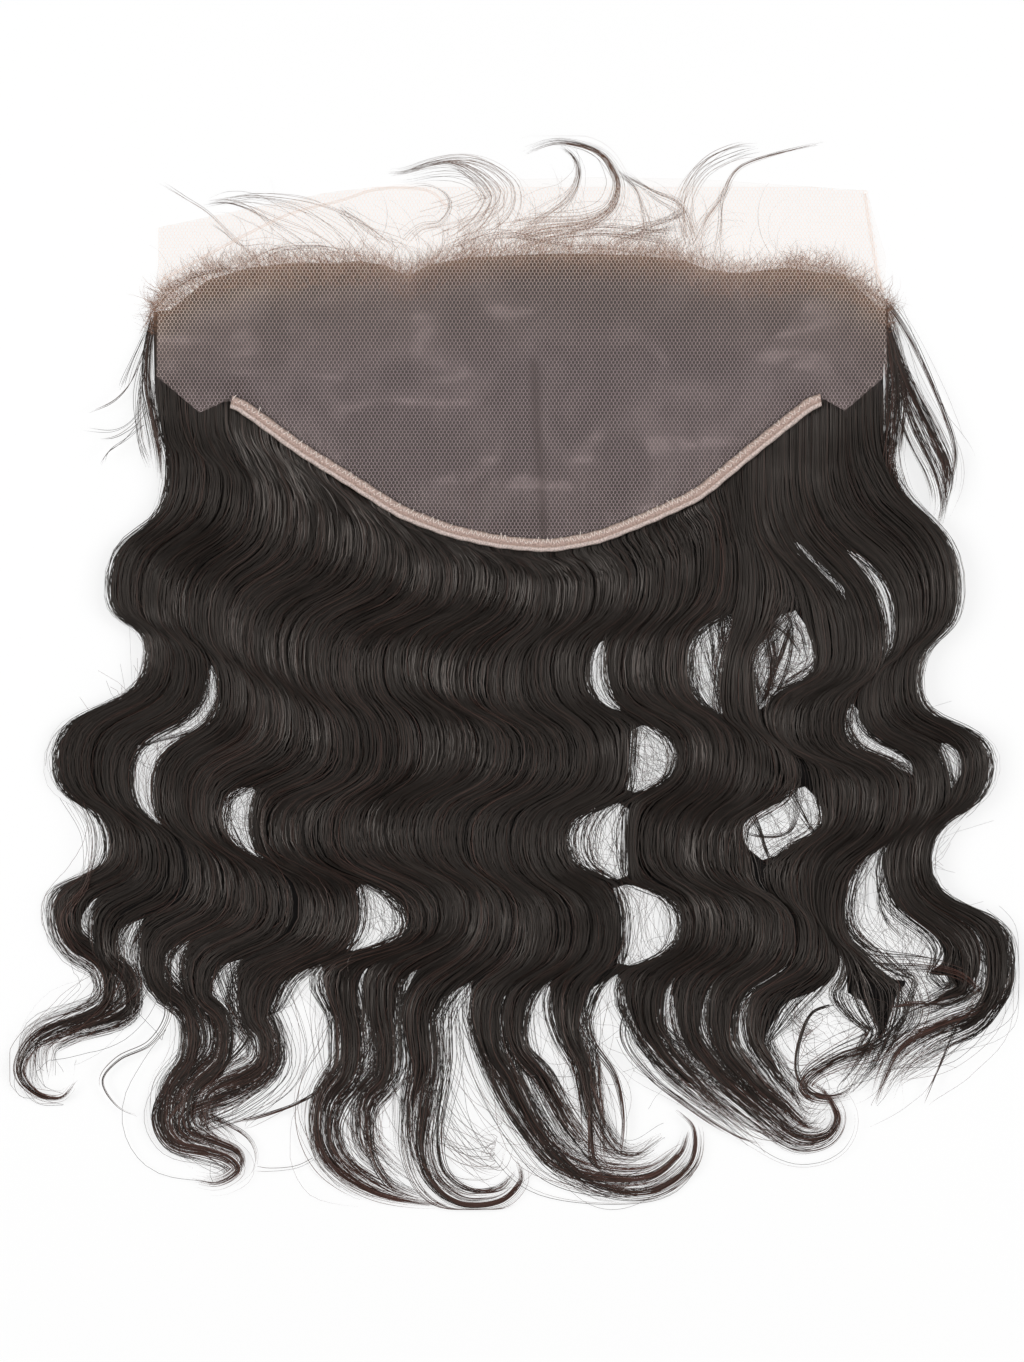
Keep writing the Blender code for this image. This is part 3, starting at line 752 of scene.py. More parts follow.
# near black strands of random tone; the lightest tones are a warm brown, painted light passing
# through thin hair
hair_tone_and_light_through = add_ramp(strand_look, tone_of_strand, (
    (0.0, (0.0065, 0.0048, 0.0040)), (0.62, (0.016, 0.0115, 0.0095)), (1.0, (0.110, 0.051, 0.040))))
over_the_waves = add_node(strand_look, "TexCoord", "Object")
dull_patches = add_node(strand_look, "TexNoise", "Fac", {
    "Vector": over_the_waves, "Scale": 17.0, "Detail": 3.0, "Distortion": 0.8})
gloss = add_node(strand_look, "MapRange", "Result", {
    "Value": dull_patches, "From Min": 0.42, "From Max": 0.66, "To Min": 0.37, "To Max": 0.74})
feed(strand_shader, {
    "Specular Tint": (1.0, 0.90, 0.83, 1.0), "Anisotropic": 0.5, "Tangent": across_the_hair,
    "Base Color": hair_tone_and_light_through, "Roughness": gloss})

chance = np.random.default_rng(7)


def rolling(across, down):
    """How the surface of the hair rolls to one side or the other, from -1 to 1."""
    wide = np.sin(across * 0.031 + down * 0.017 + 1.3) * np.sin(down * 0.023 - across * 0.011 + 0.4)
    narrow = np.sin(across * 0.075 - down * 0.029 + 2.1) * np.sin(down * 0.052 + across * 0.024)
    return 0.65 * wide + 0.35 * narrow


def clumped(count):
    """Where the strands of a lock sit: the clump of each one, and its place in it."""
    centres = (np.arange(CLUMPS) + 0.5) / CLUMPS * 2.0 - 1.0
    centres = centres * 0.97 + chance.normal(0.0, 0.03, CLUMPS)
    clump = chance.integers(0, CLUMPS, count)
    within = np.clip(chance.normal(0.0, 0.55, count), -1.5, 1.5)
    return centres, clump, within


def hair_strands(name, locks):
    """Strands of some neighbouring locks as one piece."""
    all_paths = []
    all_widths = []
    all_tilts = []
    all_tones = []
    for lock in locks:
        reach = np.linalg.norm(left_sides[lock], axis=1) + np.linalg.norm(right_sides[lock], axis=1)
        count = int(STRANDS_PER_PART * reach[2 * PER_TURN:7 * PER_TURN].mean())
        centres, clump, within = clumped(count)
        # free hairs leave their clump, stray ones reach over the gap beside the lock
        free = chance.random(count) < 0.18
        stray = np.where(free, chance.uniform(0.3, 1.3, count), 0.0)
        leaves_edge = (np.abs(centres[clump]) > 0.75) & (chance.random(count) < 0.45)
        stray = np.where(leaves_edge, chance.uniform(0.0, 0.7, count), stray)
        start = chance.uniform(0.82, 1.0, count)
        kind = chance.random(count)
        to_the_tip = 0.10 if lock < 2 else 0.36 if lock < 14 else 0.18
        end = np.where(
            kind < to_the_tip, chance.uniform(11.2, 12.0, count), chance.uniform(7.8, 11.2, count))
        end = np.where(kind > 0.93, chance.uniform(4.0, 9.0, count), end)
        end = end - chance.uniform(0.0, 0.7 if lock < 14 else 1.5, CLUMPS)[clump]
        progress = np.linspace(0.0, 1.0, STRAND_POINTS)[None, :]
        t = start[:, None] + (end - start)[:, None] * progress
        # each clump wanders across the lock on its own, and draws together at its tip
        clump_drift = chance.normal(0.0, 0.10, CLUMPS)[clump, None] * np.sin(
            t * chance.uniform(0.5, 0.9, CLUMPS)[clump, None]
            + chance.uniform(0.0, 6.3, CLUMPS)[clump, None])
        clump_drift = clump_drift * np.clip(t - 1.0, 0.0, 2.0) * 0.5
        own_drift = chance.normal(0.0, 0.075, count)[:, None] * np.sin(
            t * chance.uniform(0.5, 1.3, count)[:, None]
            + chance.uniform(0.0, 6.3, count)[:, None])
        drawn_in = np.interp(t, [1.0, 5.0, 8.0, 10.0, 12.0], [2.2, 1.9, 1.0, 0.50, 0.30])
        half_clump = 1.15 / CLUMPS * drawn_in
        fan = np.interp(t, [7.6, 9.5, 12.0], [1.0, 1.35, 2.0])
        s = centres[clump][:, None] * fan + within[:, None] * half_clump + clump_drift + own_drift
        loose_s = chance.uniform(-1.08, 1.08, count)[:, None] + 3.0 * own_drift
        loose_s = loose_s + chance.normal(0.0, 0.22, count)[:, None] * np.clip(t - 7.0, 0.0, 5.0)
        s = np.where(free[:, None], loose_s, s)
        phase = (chance.normal(0.0, 0.045, count)[:, None]
                 + chance.normal(0.0, 0.125, CLUMPS)[clump, None])
        phase = phase * np.clip(t - 1.0, 0.0, 1.0)
        phase = phase + chance.normal(0.0, 0.11, CLUMPS)[clump, None] * np.clip(t - 8.3, 0.0, 3.0)
        spot = lock_spot(lock, s, t + phase, stray[:, None, None])
        sway_size = np.where(free, 2.6, 1.7)[:, None, None]
        sway = chance.normal(0.0, 1.0, (count, 2))[:, None, :] * sway_size
        sway = sway * np.sin(t * chance.uniform(1.5, 3.0, count)[:, None]
                             + chance.uniform(0.0, 6.3, count)[:, None])[..., None]
        spot = spot + sway * np.clip(t - 1.0, 0.0, 1.0)[..., None]
        # depth is how far a hair lies under the lock's outer surface
        depth = chance.random(count)[:, None] ** 1.6 * 0.22
        # a few strands lie on top, narrower and lighter in tone: painted highlight strands
        glint_strands = chance.random(count) < 0.04
        depth = np.where(glint_strands[:, None], 0.0, depth)
        parted = np.interp(t, [1.0, 5.0, 9.0], [0.15, 0.3, 1.0])
        depth = depth + chance.uniform(0.0, 0.18, CLUMPS)[clump, None] * parted
        depth = depth + 0.10 * free[:, None]
        depth = depth + 0.10 * within[:, None] ** 2 * parted
        at_edge = np.clip((np.abs(s) - 0.75) / 0.2, 0.0, 1.0) * np.clip(t - 1.0, 0.0, 1.0)
        edge_open = (lock == 0) * (s < 0.0) + (lock == len(LOCKS) - 1) * (s > 0.0)
        depth = depth + at_edge * edge_open * chance.uniform(0.0, 0.7, count)[:, None]
        top = lock_height(lock, s, t, spot[..., 0], spot[..., 1]) * (1.0 - depth)
        top = top * np.interp(np.abs(s), [1.0, 2.0], [1.0, 0.6])
        paths = place(spot[..., 0], spot[..., 1], top)
        widths = STRAND_WIDTH * chance.uniform(0.7, 1.25, count)[:, None]
        widths = widths * np.clip((1.0 - progress) * 7.0, 0.15, 1.0)
        widths = widths * np.interp(t, [6.0, 8.5, 11.0], [1.0, 0.90, 0.78])
        at_the_side = np.where(np.abs(s) > 0.93, 0.55, 1.0)
        widths = widths * at_the_side * np.where(free[:, None], 0.38, 1.0)
        widths = widths * np.where(glint_strands[:, None], 0.65, 1.0)
        arch_slope = np.clip(s, -1.0, 1.0) * 0.22 + within[:, None] * 0.20 * parted
        tilts = chance.normal(0.0, 0.17, count)[:, None] + arch_slope
        tilts = tilts + 0.40 * rolling(spot[..., 0], spot[..., 1])
        tilts = tilts + 0.17 * np.sin(
            t * chance.uniform(1.5, 3.6, count)[:, None]
            + chance.uniform(0.0, 6.3, count)[:, None])
        all_paths.append(paths)
        all_widths.append(widths)
        all_tilts.append(tilts)
        # free hairs are lighter in tone, and all strands get lighter towards the tips: painted light
        # passing through thin hair
        tone = np.where(free, 0.45 + 0.5 * chance.random(count), 0.7 * chance.random(count))
        tone = np.where(glint_strands, 0.62 + 0.16 * chance.random(count), tone)
        all_tones.append(tone[:, None] + 0.15 * np.clip(t - 8.3, 0.0, 3.0))
    made = fibres(
        name, np.concatenate(all_paths), np.concatenate(all_widths), np.concatenate(all_tilts),
        np.concatenate(all_tones), strand_look)


STRAND_GROUPS = (
    ("strands_left", (0, 1, 2, 3)),
    ("strands_hook", (4, 5, 6)),
    ("strands_middle", (7, 8, 9)),
    ("strands_middle_right", (10, 11, 12, 13)),
    ("strands_right", (14, 15, 16, 17)),
)
for name, locks in STRAND_GROUPS:
    hair_strands(name, locks)

# The curled tips of the locks.
# They are laid by hand on the table, so each tress has its own path, how many
# hairs it holds and how far they spread at its root, its middle and its tip.
RIGHT_AND_LOW_END = (1020.0, 1211.0)    # the outermost hairs stay inside these
LEFT_AND_TOP_END = (9.0, 134.0)


def height_of_loose_hair(down):
    """Top of the hair where it lies loose, lower towards the tips."""
    return np.interp(down, [420, 560, 950, 1060, 1200], [0.0105, 0.0115, 0.0078, 0.0056, 0.0030])


def tresses(name, rows, steps, hair_width, lift, look, root_tone, tip_tone, frizz, root_lift,
            core=0.38):
    """Tresses of fine hairs as one piece.

    lift gives the height over the table, root_lift the share of it at the roots,
    and core the share of hairs that keep to the middle of their tress.
    """
    paths = []
    widths = []
    tones = []
    for count, spread, points in rows:
        line = curve_through(points, 4 * steps)
        going = np.gradient(line, axis=0)
        going /= np.linalg.norm(going, axis=1, keepdims=True)
        normal = np.stack([going[:, 1], -going[:, 0]], axis=1)
        along = np.linspace(0.0, 1.0, len(line))
        half = np.interp(along, np.linspace(0.0, 1.0, len(spread)), spread)
        wisps = max(2, count // 7)
        wisp_share = chance.normal(0.0, 0.70, wisps)
        wisp_end = chance.uniform(0.76, 1.0, wisps)
        wisp_sway = chance.normal(0.0, 0.32, wisps)
        wisp_turn = chance.uniform(0.0, 6.3, wisps)
        wisp_share[0], wisp_end[0], wisp_sway[0] = 0.0, 1.0, 0.12
        for hair in range(count):
            wisp = 0 if chance.random() < core else int(chance.integers(0, wisps))
            alone = chance.random() < 0.16
            begin = chance.uniform(0.0, 0.12)
            finish_at = wisp_end[wisp] - 0.07 * chance.random()
            progress = np.linspace(0.0, 1.0, steps)
            spots = (begin + (finish_at - begin) * progress) * (len(line) - 1.001)
            low = spots.astype(int)
            rest = (spots - low)[:, None]
            where = line[low] * (1 - rest) + line[low + 1] * rest
            out = normal[low] * (1 - rest) + normal[low + 1] * rest
            apart = np.interp(along[low], [0.0, 0.5, 1.0], [0.50, 0.16, 0.10])
            share = wisp_share[wisp] + wisp_sway[wisp] * np.sin(4.0 * along[low] + wisp_turn[wisp])
            share = share + chance.normal() * apart
            loose_hair = frizz
            if alone:
                share = np.full(steps, chance.normal(0.0, 0.95))
                loose_hair = 2.2 * frizz
            drift = share + loose_hair * chance.normal() * np.sin(
                chance.uniform(2.0, 6.0) * along[low] + chance.uniform(0.0, 6.3))
            where = where + out * (half[low] * drift)[:, None]
            where = where + out * (loose_hair * 6.0 * chance.normal() * along[low] ** 3)[:, None]
            # the outermost hairs of a curl lie close together
            middle = line[low]
            room = np.maximum(np.subtract(RIGHT_AND_LOW_END, middle), 3.0)
            where = np.where(where > middle, middle + room * np.tanh((where - middle) / room), where)
            where = np.maximum(where, LEFT_AND_TOP_END)
            deep = 0.35 * chance.random()
            top = lift(where[:, 1]) * (1.0 - deep - 0.10 * np.minimum(share ** 2, 2.0))
            top = top * np.interp(along[low], [0.0, 0.25], [root_lift, 1.0])
            paths.append(place(where[:, 0], where[:, 1], top))
            own_width = hair_width * chance.uniform(0.7, 1.25) * (0.6 if alone else 1.0)
            widths.append(own_width * np.clip((1.0 - progress) * 6.0, 0.2, 1.0))
            tones.append(chance.uniform(-0.25, 0.25) + root_tone + (tip_tone - root_tone) * progress)
    paths = np.array(paths)
    tilts = chance.normal(0.0, 0.4, len(paths))[:, None] * np.ones((1, steps))
    made = fibres(name, paths, np.array(widths), tilts, np.array(tones), look)


TIP_TRESSES = (
    # left tail and its ring
    (40, (30, 20, 10, 5, 2), ((106, 925), (118, 975), (104, 1008), (70, 1026), (34, 1044),
     (20, 1072), (36, 1094), (60, 1098), (77, 1080))),
    (24, (17, 11, 5), ((150, 900), (128, 950), (140, 985), (118, 1010), (80, 1028), (50, 1036))),
    (6, (6, 4, 2), ((138, 945), (160, 985), (168, 1015), (150, 1044), (118, 1060), (101, 1082),
     (116, 1108), (142, 1120))),
    # left hook
    (48, (20, 15, 11, 6), ((150, 900), (160, 960), (196, 1008), (206, 1045), (180, 1080),
     (160, 1115), (172, 1143), (205, 1152), (228, 1160), (236, 1172), (216, 1184), (190, 1180))),
    (60, (20, 17, 15, 6), ((236, 930), (240, 985), (264, 1030), (272, 1065), (235, 1095),
     (192, 1112), (186, 1130), (215, 1141), (238, 1152), (241, 1168), (222, 1184))),
    (24, (12, 11, 7), ((215, 960), (232, 1005), (250, 1035), (228, 1065), (196, 1092), (170, 1120),
     (184, 1146), (212, 1154))),
    (9, (8, 4, 6), ((345, 1050), (322, 1086), (300, 1102), (262, 1116), (226, 1124))),
    (2, (2, 2), ((318, 1156), (296, 1167), (270, 1170), (252, 1168))),
    # left curl
    (64, (22, 13, 7), ((345, 960), (360, 1010), (348, 1055), (322, 1090), (314, 1128), (330, 1166),
     (368, 1192), (410, 1203), (450, 1206))),
    (20, (17, 17, 10), ((390, 960), (395, 1020), (382, 1060), (350, 1095), (335, 1130), (350, 1165),
     (385, 1190), (420, 1200))),
    (20, (17, 15, 7), ((410, 960), (402, 1020), (400, 1070), (372, 1110), (370, 1150), (390, 1185),
     (430, 1203))),
    (76, (20, 15, 10, 5), ((436, 960), (428, 1010), (432, 1060), (424, 1110), (420, 1150),
     (432, 1185), (462, 1206), (500, 1203), (521, 1182), (517, 1160))),
    (14, (9, 7, 5), ((470, 980), (448, 1020), (446, 1080), (440, 1130), (446, 1170), (470, 1190),
     (500, 1190), (516, 1172))),
    # middle curl
    (84, (22, 18, 13, 7), ((480, 970), (484, 1030), (500, 1080), (528, 1130), (558, 1165),
     (605, 1180), (650, 1178), (680, 1156), (690, 1130))),
    (34, (17, 11, 6), ((515, 1000), (510, 1060), (532, 1120), (560, 1165), (610, 1191), (655, 1192),
     (690, 1165), (694, 1130), (676, 1110))),
    (36, (17, 10, 7), ((580, 960), (566, 1010), (582, 1060), (588, 1110), (592, 1155),
     (600, 1175))),
    (16, (10, 6, 5), ((600, 980), (590, 1030), (616, 1075), (624, 1120), (620, 1160))),
    (10, (8, 5, 3), ((640, 990), (624, 1035), (650, 1075), (692, 1108), (735, 1136), (764, 1146))),
    # right curl and its loop
    (47, (24, 17, 10, 5), ((660, 980), (655, 1030), (690, 1060), (735, 1090), (770, 1120),
     (800, 1141), (828, 1138), (839, 1118), (826, 1094), (805, 1078))),
    (25, (17, 12, 6), ((760, 960), (728, 1010), (732, 1045), (758, 1080), (786, 1110), (806, 1128),
     (826, 1132))),
    (16, (3, 4, 4), ((835, 1005), (812, 1015), (800, 1045), (800, 1075), (818, 1094), (842, 1094),
     (862, 1076))),
    (47, (17, 15, 10, 6), ((870, 965), (898, 990), (906, 1015), (880, 1042), (840, 1058),
     (812, 1075), (806, 1090), (826, 1098), (852, 1094))),
    (47, (17, 16, 11, 6), ((962, 930), (1000, 960), (1006, 985), (985, 1010), (945, 1026),
     (905, 1045), (886, 1075), (876, 1106))),
    (7, (5, 3, 2), ((960, 1020), (948, 1045), (936, 1075), (924, 1104))),
    (19, (6, 7, 7), ((990, 985), (955, 1003), (915, 1004), (888, 1008))),
    (18, (10, 9, 6), ((830, 940), (870, 962), (920, 966), (960, 975), (984, 995))),
)
# the tone rises from root to tip: the lighter, warmer ends are painted light passing through the
# thin hair
tresses(
    "tip_tresses", TIP_TRESSES, steps=50, hair_width=0.00028, lift=height_of_loose_hair,
    look=strand_look, root_tone=0.4, tip_tone=0.95, frizz=0.16, root_lift=0.45)

# Single hairs that have left their lock.
# They start inside a lock, curl away from it and lie on top of their neighbours.
STRAYS = 360
STRAY_POINTS = 44
STRAY_WIDTH = 0.00014
stray_paths = []
for hair in range(STRAYS):
    lock = int(chance.integers(0, len(LOCKS)))
    begin = chance.uniform(1.5, 9.0)
    t = np.linspace(begin, min(LAST_TURN, begin + chance.uniform(2.0, 5.0)), STRAY_POINTS)
    leaving = np.clip((t - begin) / 2.0, 0.0, 3.0)
    s = chance.uniform(-1.0, 1.0) + chance.normal(0.0, 0.35) * leaving
    spot = lock_spot(lock, s, t + 0.12 * chance.normal() * leaving, 1.0)
    curl = chance.normal(0.0, 7.0, 2)[None, :] * np.sin(
        t * chance.uniform(0.6, 1.8) + chance.uniform(0.0, 6.3))[:, None]
    spot = spot + curl * np.clip(leaving, 0.0, 1.0)[:, None]
    top = lock_height(lock, np.clip(s, -1.0, 1.0), t, spot[:, 0], spot[:, 1])
    top = top * chance.uniform(0.80, 1.0)
    stray_paths.append(place(spot[:, 0], spot[:, 1], top))
stray_paths = np.array(stray_paths)
stray_hairs = fibres(
    "stray_hairs", stray_paths, STRAY_WIDTH * np.ones(stray_paths.shape[:2]),
    chance.normal(0.0, 0.3, STRAYS)[:, None] * np.ones((1, STRAY_POINTS)),
    chance.uniform(0.3, 1.0, STRAYS), strand_look)


# Hairs that lie across the gaps between the locks.
# They run from one lock to the next, low enough that both ends lie under the locks.
def crossing_lift(down):
    return 0.62 * height_of_loose_hair(down)


CROSSING_HAIRS = (
    # over the upper right gap
    (44, (12, 15, 13), ((722, 585), (742, 620), (750, 655), (742, 690), (734, 720))),
    (40, (14, 15, 10), ((700, 590), (708, 640), (716, 680), (730, 716))),
    (26, (8, 7, 5), ((758, 590), (774, 636), (772, 675), (752, 715))),
    (10, (4, 6, 5), ((832, 630), (812, 664), (786, 682), (760, 712))),
    (44, (4, 6, 2), ((716, 596), (738, 636), (752, 670), (763, 708))),
    (30, (3, 6, 2), ((722, 600), (722, 640), (734, 680), (748, 706))),
    (22, (2, 5, 2), ((792, 622), (782, 655), (770, 684), (762, 708))),
    (12, (3, 6, 3), ((716, 592), (750, 612), (786, 634), (806, 662))),
    (26, (3, 5, 2), ((748, 596), (766, 632), (772, 672), (764, 712))),
    (14, (3, 5, 2), ((770, 592), (790, 626), (788, 668), (766, 710))),
    (10, (2, 4, 2), ((740, 592), (770, 604), (800, 630), (806, 660))),
    # over the middle right gap
    (10, (6, 4, 3), ((800, 775), (798, 808), (790, 832), (766, 838), (738, 832))),
    (16, (10, 8, 5), ((734, 790), (756, 826), (768, 858), (784, 884))),
    (14, (10, 9, 6), ((786, 780), (804, 812), (822, 840), (842, 856))),
    # along the right slivers
    (14, (4, 6, 5), ((800, 530), (822, 568), (866, 596), (892, 640))),
    (60, (9, 9, 7), ((798, 470), (806, 510), (822, 545), (856, 580), (884, 612))),
    (20, (8, 8, 6), ((838, 690), (848, 730), (872, 762), (910, 790), (930, 812))),
    (22, (8, 10, 9), ((880, 700), (905, 745), (945, 770), (962, 800), (940, 832))),
    # inside the large right gap
    (26, (12, 10, 8), ((862, 850), (844, 890), (850, 930), (880, 955))),
    (14, (5, 5, 4), ((896, 856), (880, 890), (886, 920), (912, 950))),
    # beside the middle gaps
    (16, (7, 8, 7), ((650, 720), (690, 750), (676, 785), (640, 810))),
    (22, (8, 12, 8), ((630, 780), (592, 820), (590, 860), (630, 890))),
    (20, (8, 10, 8), ((650, 870), (690, 905), (678, 945), (640, 975))),
    (10, (5, 6, 5), ((560, 640), (580, 675), (600, 705), (618, 740))),
    # beside the left gaps
    (10, (5, 6, 5), ((200, 640), (222, 690), (196, 730), (140, 750), (122, 790))),
    (10, (5, 6, 5), ((262, 760), (228, 800), (238, 840), (262, 870))),
    (14, (6, 8, 6), ((352, 850), (392, 890), (412, 925), (390, 960))),
)
tresses(
    "crossing_hairs", CROSSING_HAIRS, steps=30, hair_width=0.00024, lift=crossing_lift,
    look=strand_look, root_tone=0.4, tip_tone=0.6, frizz=0.26, root_lift=1.0)

# Thin hairs that follow a curl at a distance.
# They belong to the same tips, and fill the inside of a curl with a faint haze.
HAZE_HAIRS = (
    (34, (34, 40, 30), ((470, 985), (476, 1050), (500, 1110), (540, 1150), (600, 1165),
     (640, 1140))),
    (34, (30, 40, 26), ((420, 990), (424, 1060), (440, 1120), (470, 1160), (500, 1170),
     (508, 1140))),
    (30, (26, 34, 30), ((360, 990), (340, 1050), (330, 1110), (360, 1160), (410, 1180))),
    (26, (22, 30, 24), ((590, 990), (590, 1040), (600, 1090), (606, 1140))),
    (26, (26, 30, 26), ((670, 990), (690, 1050), (740, 1090), (780, 1110), (800, 1090))),
    (26, (20, 30, 30), ((770, 980), (776, 1030), (800, 1060), (840, 1040))),
    (26, (20, 26, 20), ((880, 990), (900, 1030), (870, 1060), (830, 1080))),
    (26, (20, 26, 20), ((960, 960), (985, 1000), (940, 1040), (900, 1070), (880, 1100))),
    (26, (24, 30, 26), ((240, 960), (262, 1020), (270, 1070), (226, 1110), (214, 1140))),
    (26, (20, 26, 24), ((160, 930), (180, 990), (200, 1040), (170, 1090), (170, 1130))),
    (20, (20, 24, 20), ((110, 920), (112, 980), (80, 1020), (46, 1044), (40, 1080))),
    (20, (12, 20, 20), ((64, 780), (90, 830), (84, 880), (60, 920), (90, 980))),
)
tresses(
    "haze_hairs", HAZE_HAIRS, steps=26, hair_width=0.00016, lift=height_of_loose_hair,
    look=strand_look, root_tone=0.6, tip_tone=1.0, frizz=0.45, root_lift=0.6, core=0.0)

# The finest hairs in the gaps.
# Single hairs that hang over a gap from both sides, most of them with its slant.
VEILS = (
    # hairs, across, down, half width and half length of the gap, lean of most hairs
    (34, 584, 676, 12, 40, -0.2), (90, 738, 664, 34, 42, 0.1), (100, 795, 652, 38, 40, 0.9),
    (80, 655, 760, 30, 34, 0.9), (60, 592, 840, 30, 46, 0.2), (80, 786, 828, 50, 46, 0.6),
    (46, 655, 925, 28, 52, 0.1), (34, 384, 903, 24, 28, 0.3), (36, 240, 808, 28, 30, 0.4),
    (40, 150, 745, 30, 60, 0.5), (40, 205, 680, 14, 46, 0.2), (34, 838, 595, 30, 46, -0.8),
    (50, 864, 748, 34, 44, -0.6), (80, 882, 900, 46, 70, -0.3), (30, 912, 770, 20, 40, -0.3),
    (20, 575, 1030, 40, 50, 0.2), (20, 700, 1040, 50, 40, 0.7), (24, 850, 1025, 50, 40, 0.9),
)
VEIL_STEPS = 12
VEIL_WIDTHS = (0.00006, 0.00013)
veil_paths = []
veil_widths = []
for count, across, down, half_wide, half_long, most_lean in VEILS:
    for hair in range(count):
        lean = most_lean + chance.normal(0.0, 0.45)
        lean = lean + (chance.random() < 0.2) * chance.uniform(0.0, 3.1)
        along = np.linspace(-1.35, 1.35, VEIL_STEPS)
        aside = chance.uniform(-1.0, 1.0)
        bow = (chance.normal(0.25, 0.55) * (along ** 2 - 0.6)
               + chance.normal(0.0, 0.12) * np.sin(along * 4.0))
        reach_x = along * math.sin(lean) + (aside + bow) * math.cos(lean)
        reach_y = along * math.cos(lean) - (aside + bow) * math.sin(lean)
        where_x = across + half_wide * reach_x
        where_y = down + half_long * reach_y
        share_up = chance.uniform(0.45, 0.80)
        veil_paths.append(place(where_x, where_y, share_up * height_of_loose_hair(where_y)))
        veil_widths.append(np.full(VEIL_STEPS, chance.uniform(*VEIL_WIDTHS)))
veil_hairs = fibres(
    "veil_hairs", np.array(veil_paths), np.array(veil_widths),
    np.zeros((len(veil_paths), VEIL_STEPS)), chance.uniform(0.4, 1.0, len(veil_paths)), strand_look)

# The loose tresses at both ends of the net.
# They are knotted at the ear tabs and hang beside the net instead of under it.
SIDE_HAIRS = (
    # right, the loose tress beside the ear tab
    (30, (5, 9, 11, 8), ((884, 306), (895, 342), (908, 382), (928, 424), (945, 456), (950, 484),
     (938, 522))),
    (40, (5, 7, 5), ((890, 326), (898, 376), (914, 428), (934, 470), (941, 500), (937, 530))),
    (14, (5, 8, 6), ((878, 288), (908, 332), (938, 398), (955, 450), (950, 492))),
    (30, (8, 6, 7), ((893, 350), (896, 400), (892, 450), (902, 495), (926, 524))),
    (70, (2, 8, 9, 4), ((885, 318), (889, 356), (890, 396), (888, 436), (886, 476), (896, 516))),
    (60, (2, 6, 5), ((888, 326), (896, 360), (900, 394), (896, 430), (891, 462))),
    (80, (2, 6, 8, 7), ((887, 322), (899, 362), (914, 398), (932, 434), (946, 468), (943, 506))),
    # left, beside the ear tab
    (56, (2, 6, 7), ((153, 316), (147, 346), (146, 385), (152, 420), (158, 452), (160, 480))),
    (9, (4, 9, 12), ((147, 350), (138, 395), (140, 436), (150, 468))),
    (3, (3, 3, 5), ((150, 330), (138, 362), (128, 385), (112, 402), (88, 413))),
    (4, (6, 4, 7), ((148, 402), (132, 421), (112, 430), (82, 428))),
    (5, (5, 6, 9), ((150, 318), (136, 345), (124, 372), (118, 390))),
    (3, (5, 5, 8), ((146, 420), (126, 440), (108, 452), (98, 466))),
)


def beside_the_net(down):
    return np.interp(down, [290, 340, 460, 560], [0.0008, 0.0030, 0.0085, 0.0105])


tresses(
    "side_hairs", SIDE_HAIRS, steps=34, hair_width=0.00020, lift=beside_the_net,
    look=strand_look, root_tone=0.6, tip_tone=0.7, frizz=0.20, root_lift=1.0)

# The baby hairs that lie under the bare margin and over its front edge.
# Fine, short brown hairs knotted along the hairline and brushed forwards in arcs.
BABY_HAIRS = (
    (12, (26, 17, 9, 2), ((340, 264), (310, 236), (275, 218), (248, 205), (225, 200), (202, 203))),
    (10, (20, 12, 5, 2), ((372, 262), (350, 235), (320, 215), (295, 203), (262, 196), (240, 196),
     (205, 203))),
    (3, (8, 5, 4), ((310, 262), (270, 245), (240, 245), (222, 232), (205, 221))),
    (3, (5, 4, 4), ((262, 262), (236, 240), (208, 212), (182, 196), (158, 182))),
    (12, (16, 9, 5), ((398, 256), (372, 236), (352, 216), (336, 204))),
    (26, (20, 14, 9, 3), ((428, 250), (470, 235), (505, 215), (513, 190), (500, 172), (478, 160),
     (455, 157), (430, 161), (405, 169), (388, 171))),
    (18, (16, 10, 7, 3), ((438, 250), (475, 225), (492, 200), (486, 182), (465, 165), (445, 160),
     (420, 164))),
    (8, (8, 5, 4), ((400, 248), (420, 228), (440, 222), (450, 205), (444, 192), (425, 184),
     (400, 188))),
    (44, (16, 11, 7, 3, 2), ((498, 238), (540, 228), (585, 222), (610, 208), (618, 185), (612, 167),
     (600, 152), (578, 143), (552, 141), (522, 152))),
    (20, (14, 10, 5, 2), ((508, 242), (548, 215), (570, 195), (579, 172), (574, 155), (560, 143))),
    (10, (10, 5, 2), ((652, 236), (645, 205), (635, 185), (614, 167))),
    (15, (12, 8, 2), ((692, 242), (680, 207), (655, 191), (616, 168))),
    (11, (8, 3, 4), ((690, 248), (705, 218), (722, 195), (732, 175), (745, 163), (770, 154),
     (800, 146), (826, 140))),
    (7, (4, 2, 3), ((720, 260), (722, 225), (724, 200), (735, 178))),
    (9, (16, 9, 4), ((680, 238), (680, 205), (690, 178), (710, 158), (738, 146), (762, 143))),
    (7, (8, 6, 5), ((702, 246), (692, 208), (706, 174), (738, 155), (764, 149))),
    (28, (9, 9, 10), ((606, 243), (640, 228), (668, 220), (692, 209))),
    (34, (10, 9, 10), ((515, 246), (560, 233), (600, 229), (642, 233), (684, 242))),
    (14, (9, 7, 7), ((455, 250), (500, 236), (540, 240), (590, 247))),
    (16, (5, 4, 4), ((150, 310), (175, 285), (205, 272), (246, 266))),
    (9, (5, 4, 4), ((140, 332), (155, 305), (185, 282), (224, 268))),
    (22, (8, 7, 6), ((798, 262), (840, 275), (875, 292), (895, 320), (906, 348))),
    (12, (7, 6, 5), ((776, 258), (820, 272), (865, 290), (886, 312))),
    (4, (4, 3, 3), ((812, 272), (848, 278), (882, 283))),
    (12, (9, 9, 9), ((235, 275), (275, 252), (320, 248), (360, 256))),
)


def on_the_table(down):
    return np.full(len(down), 0.00050)


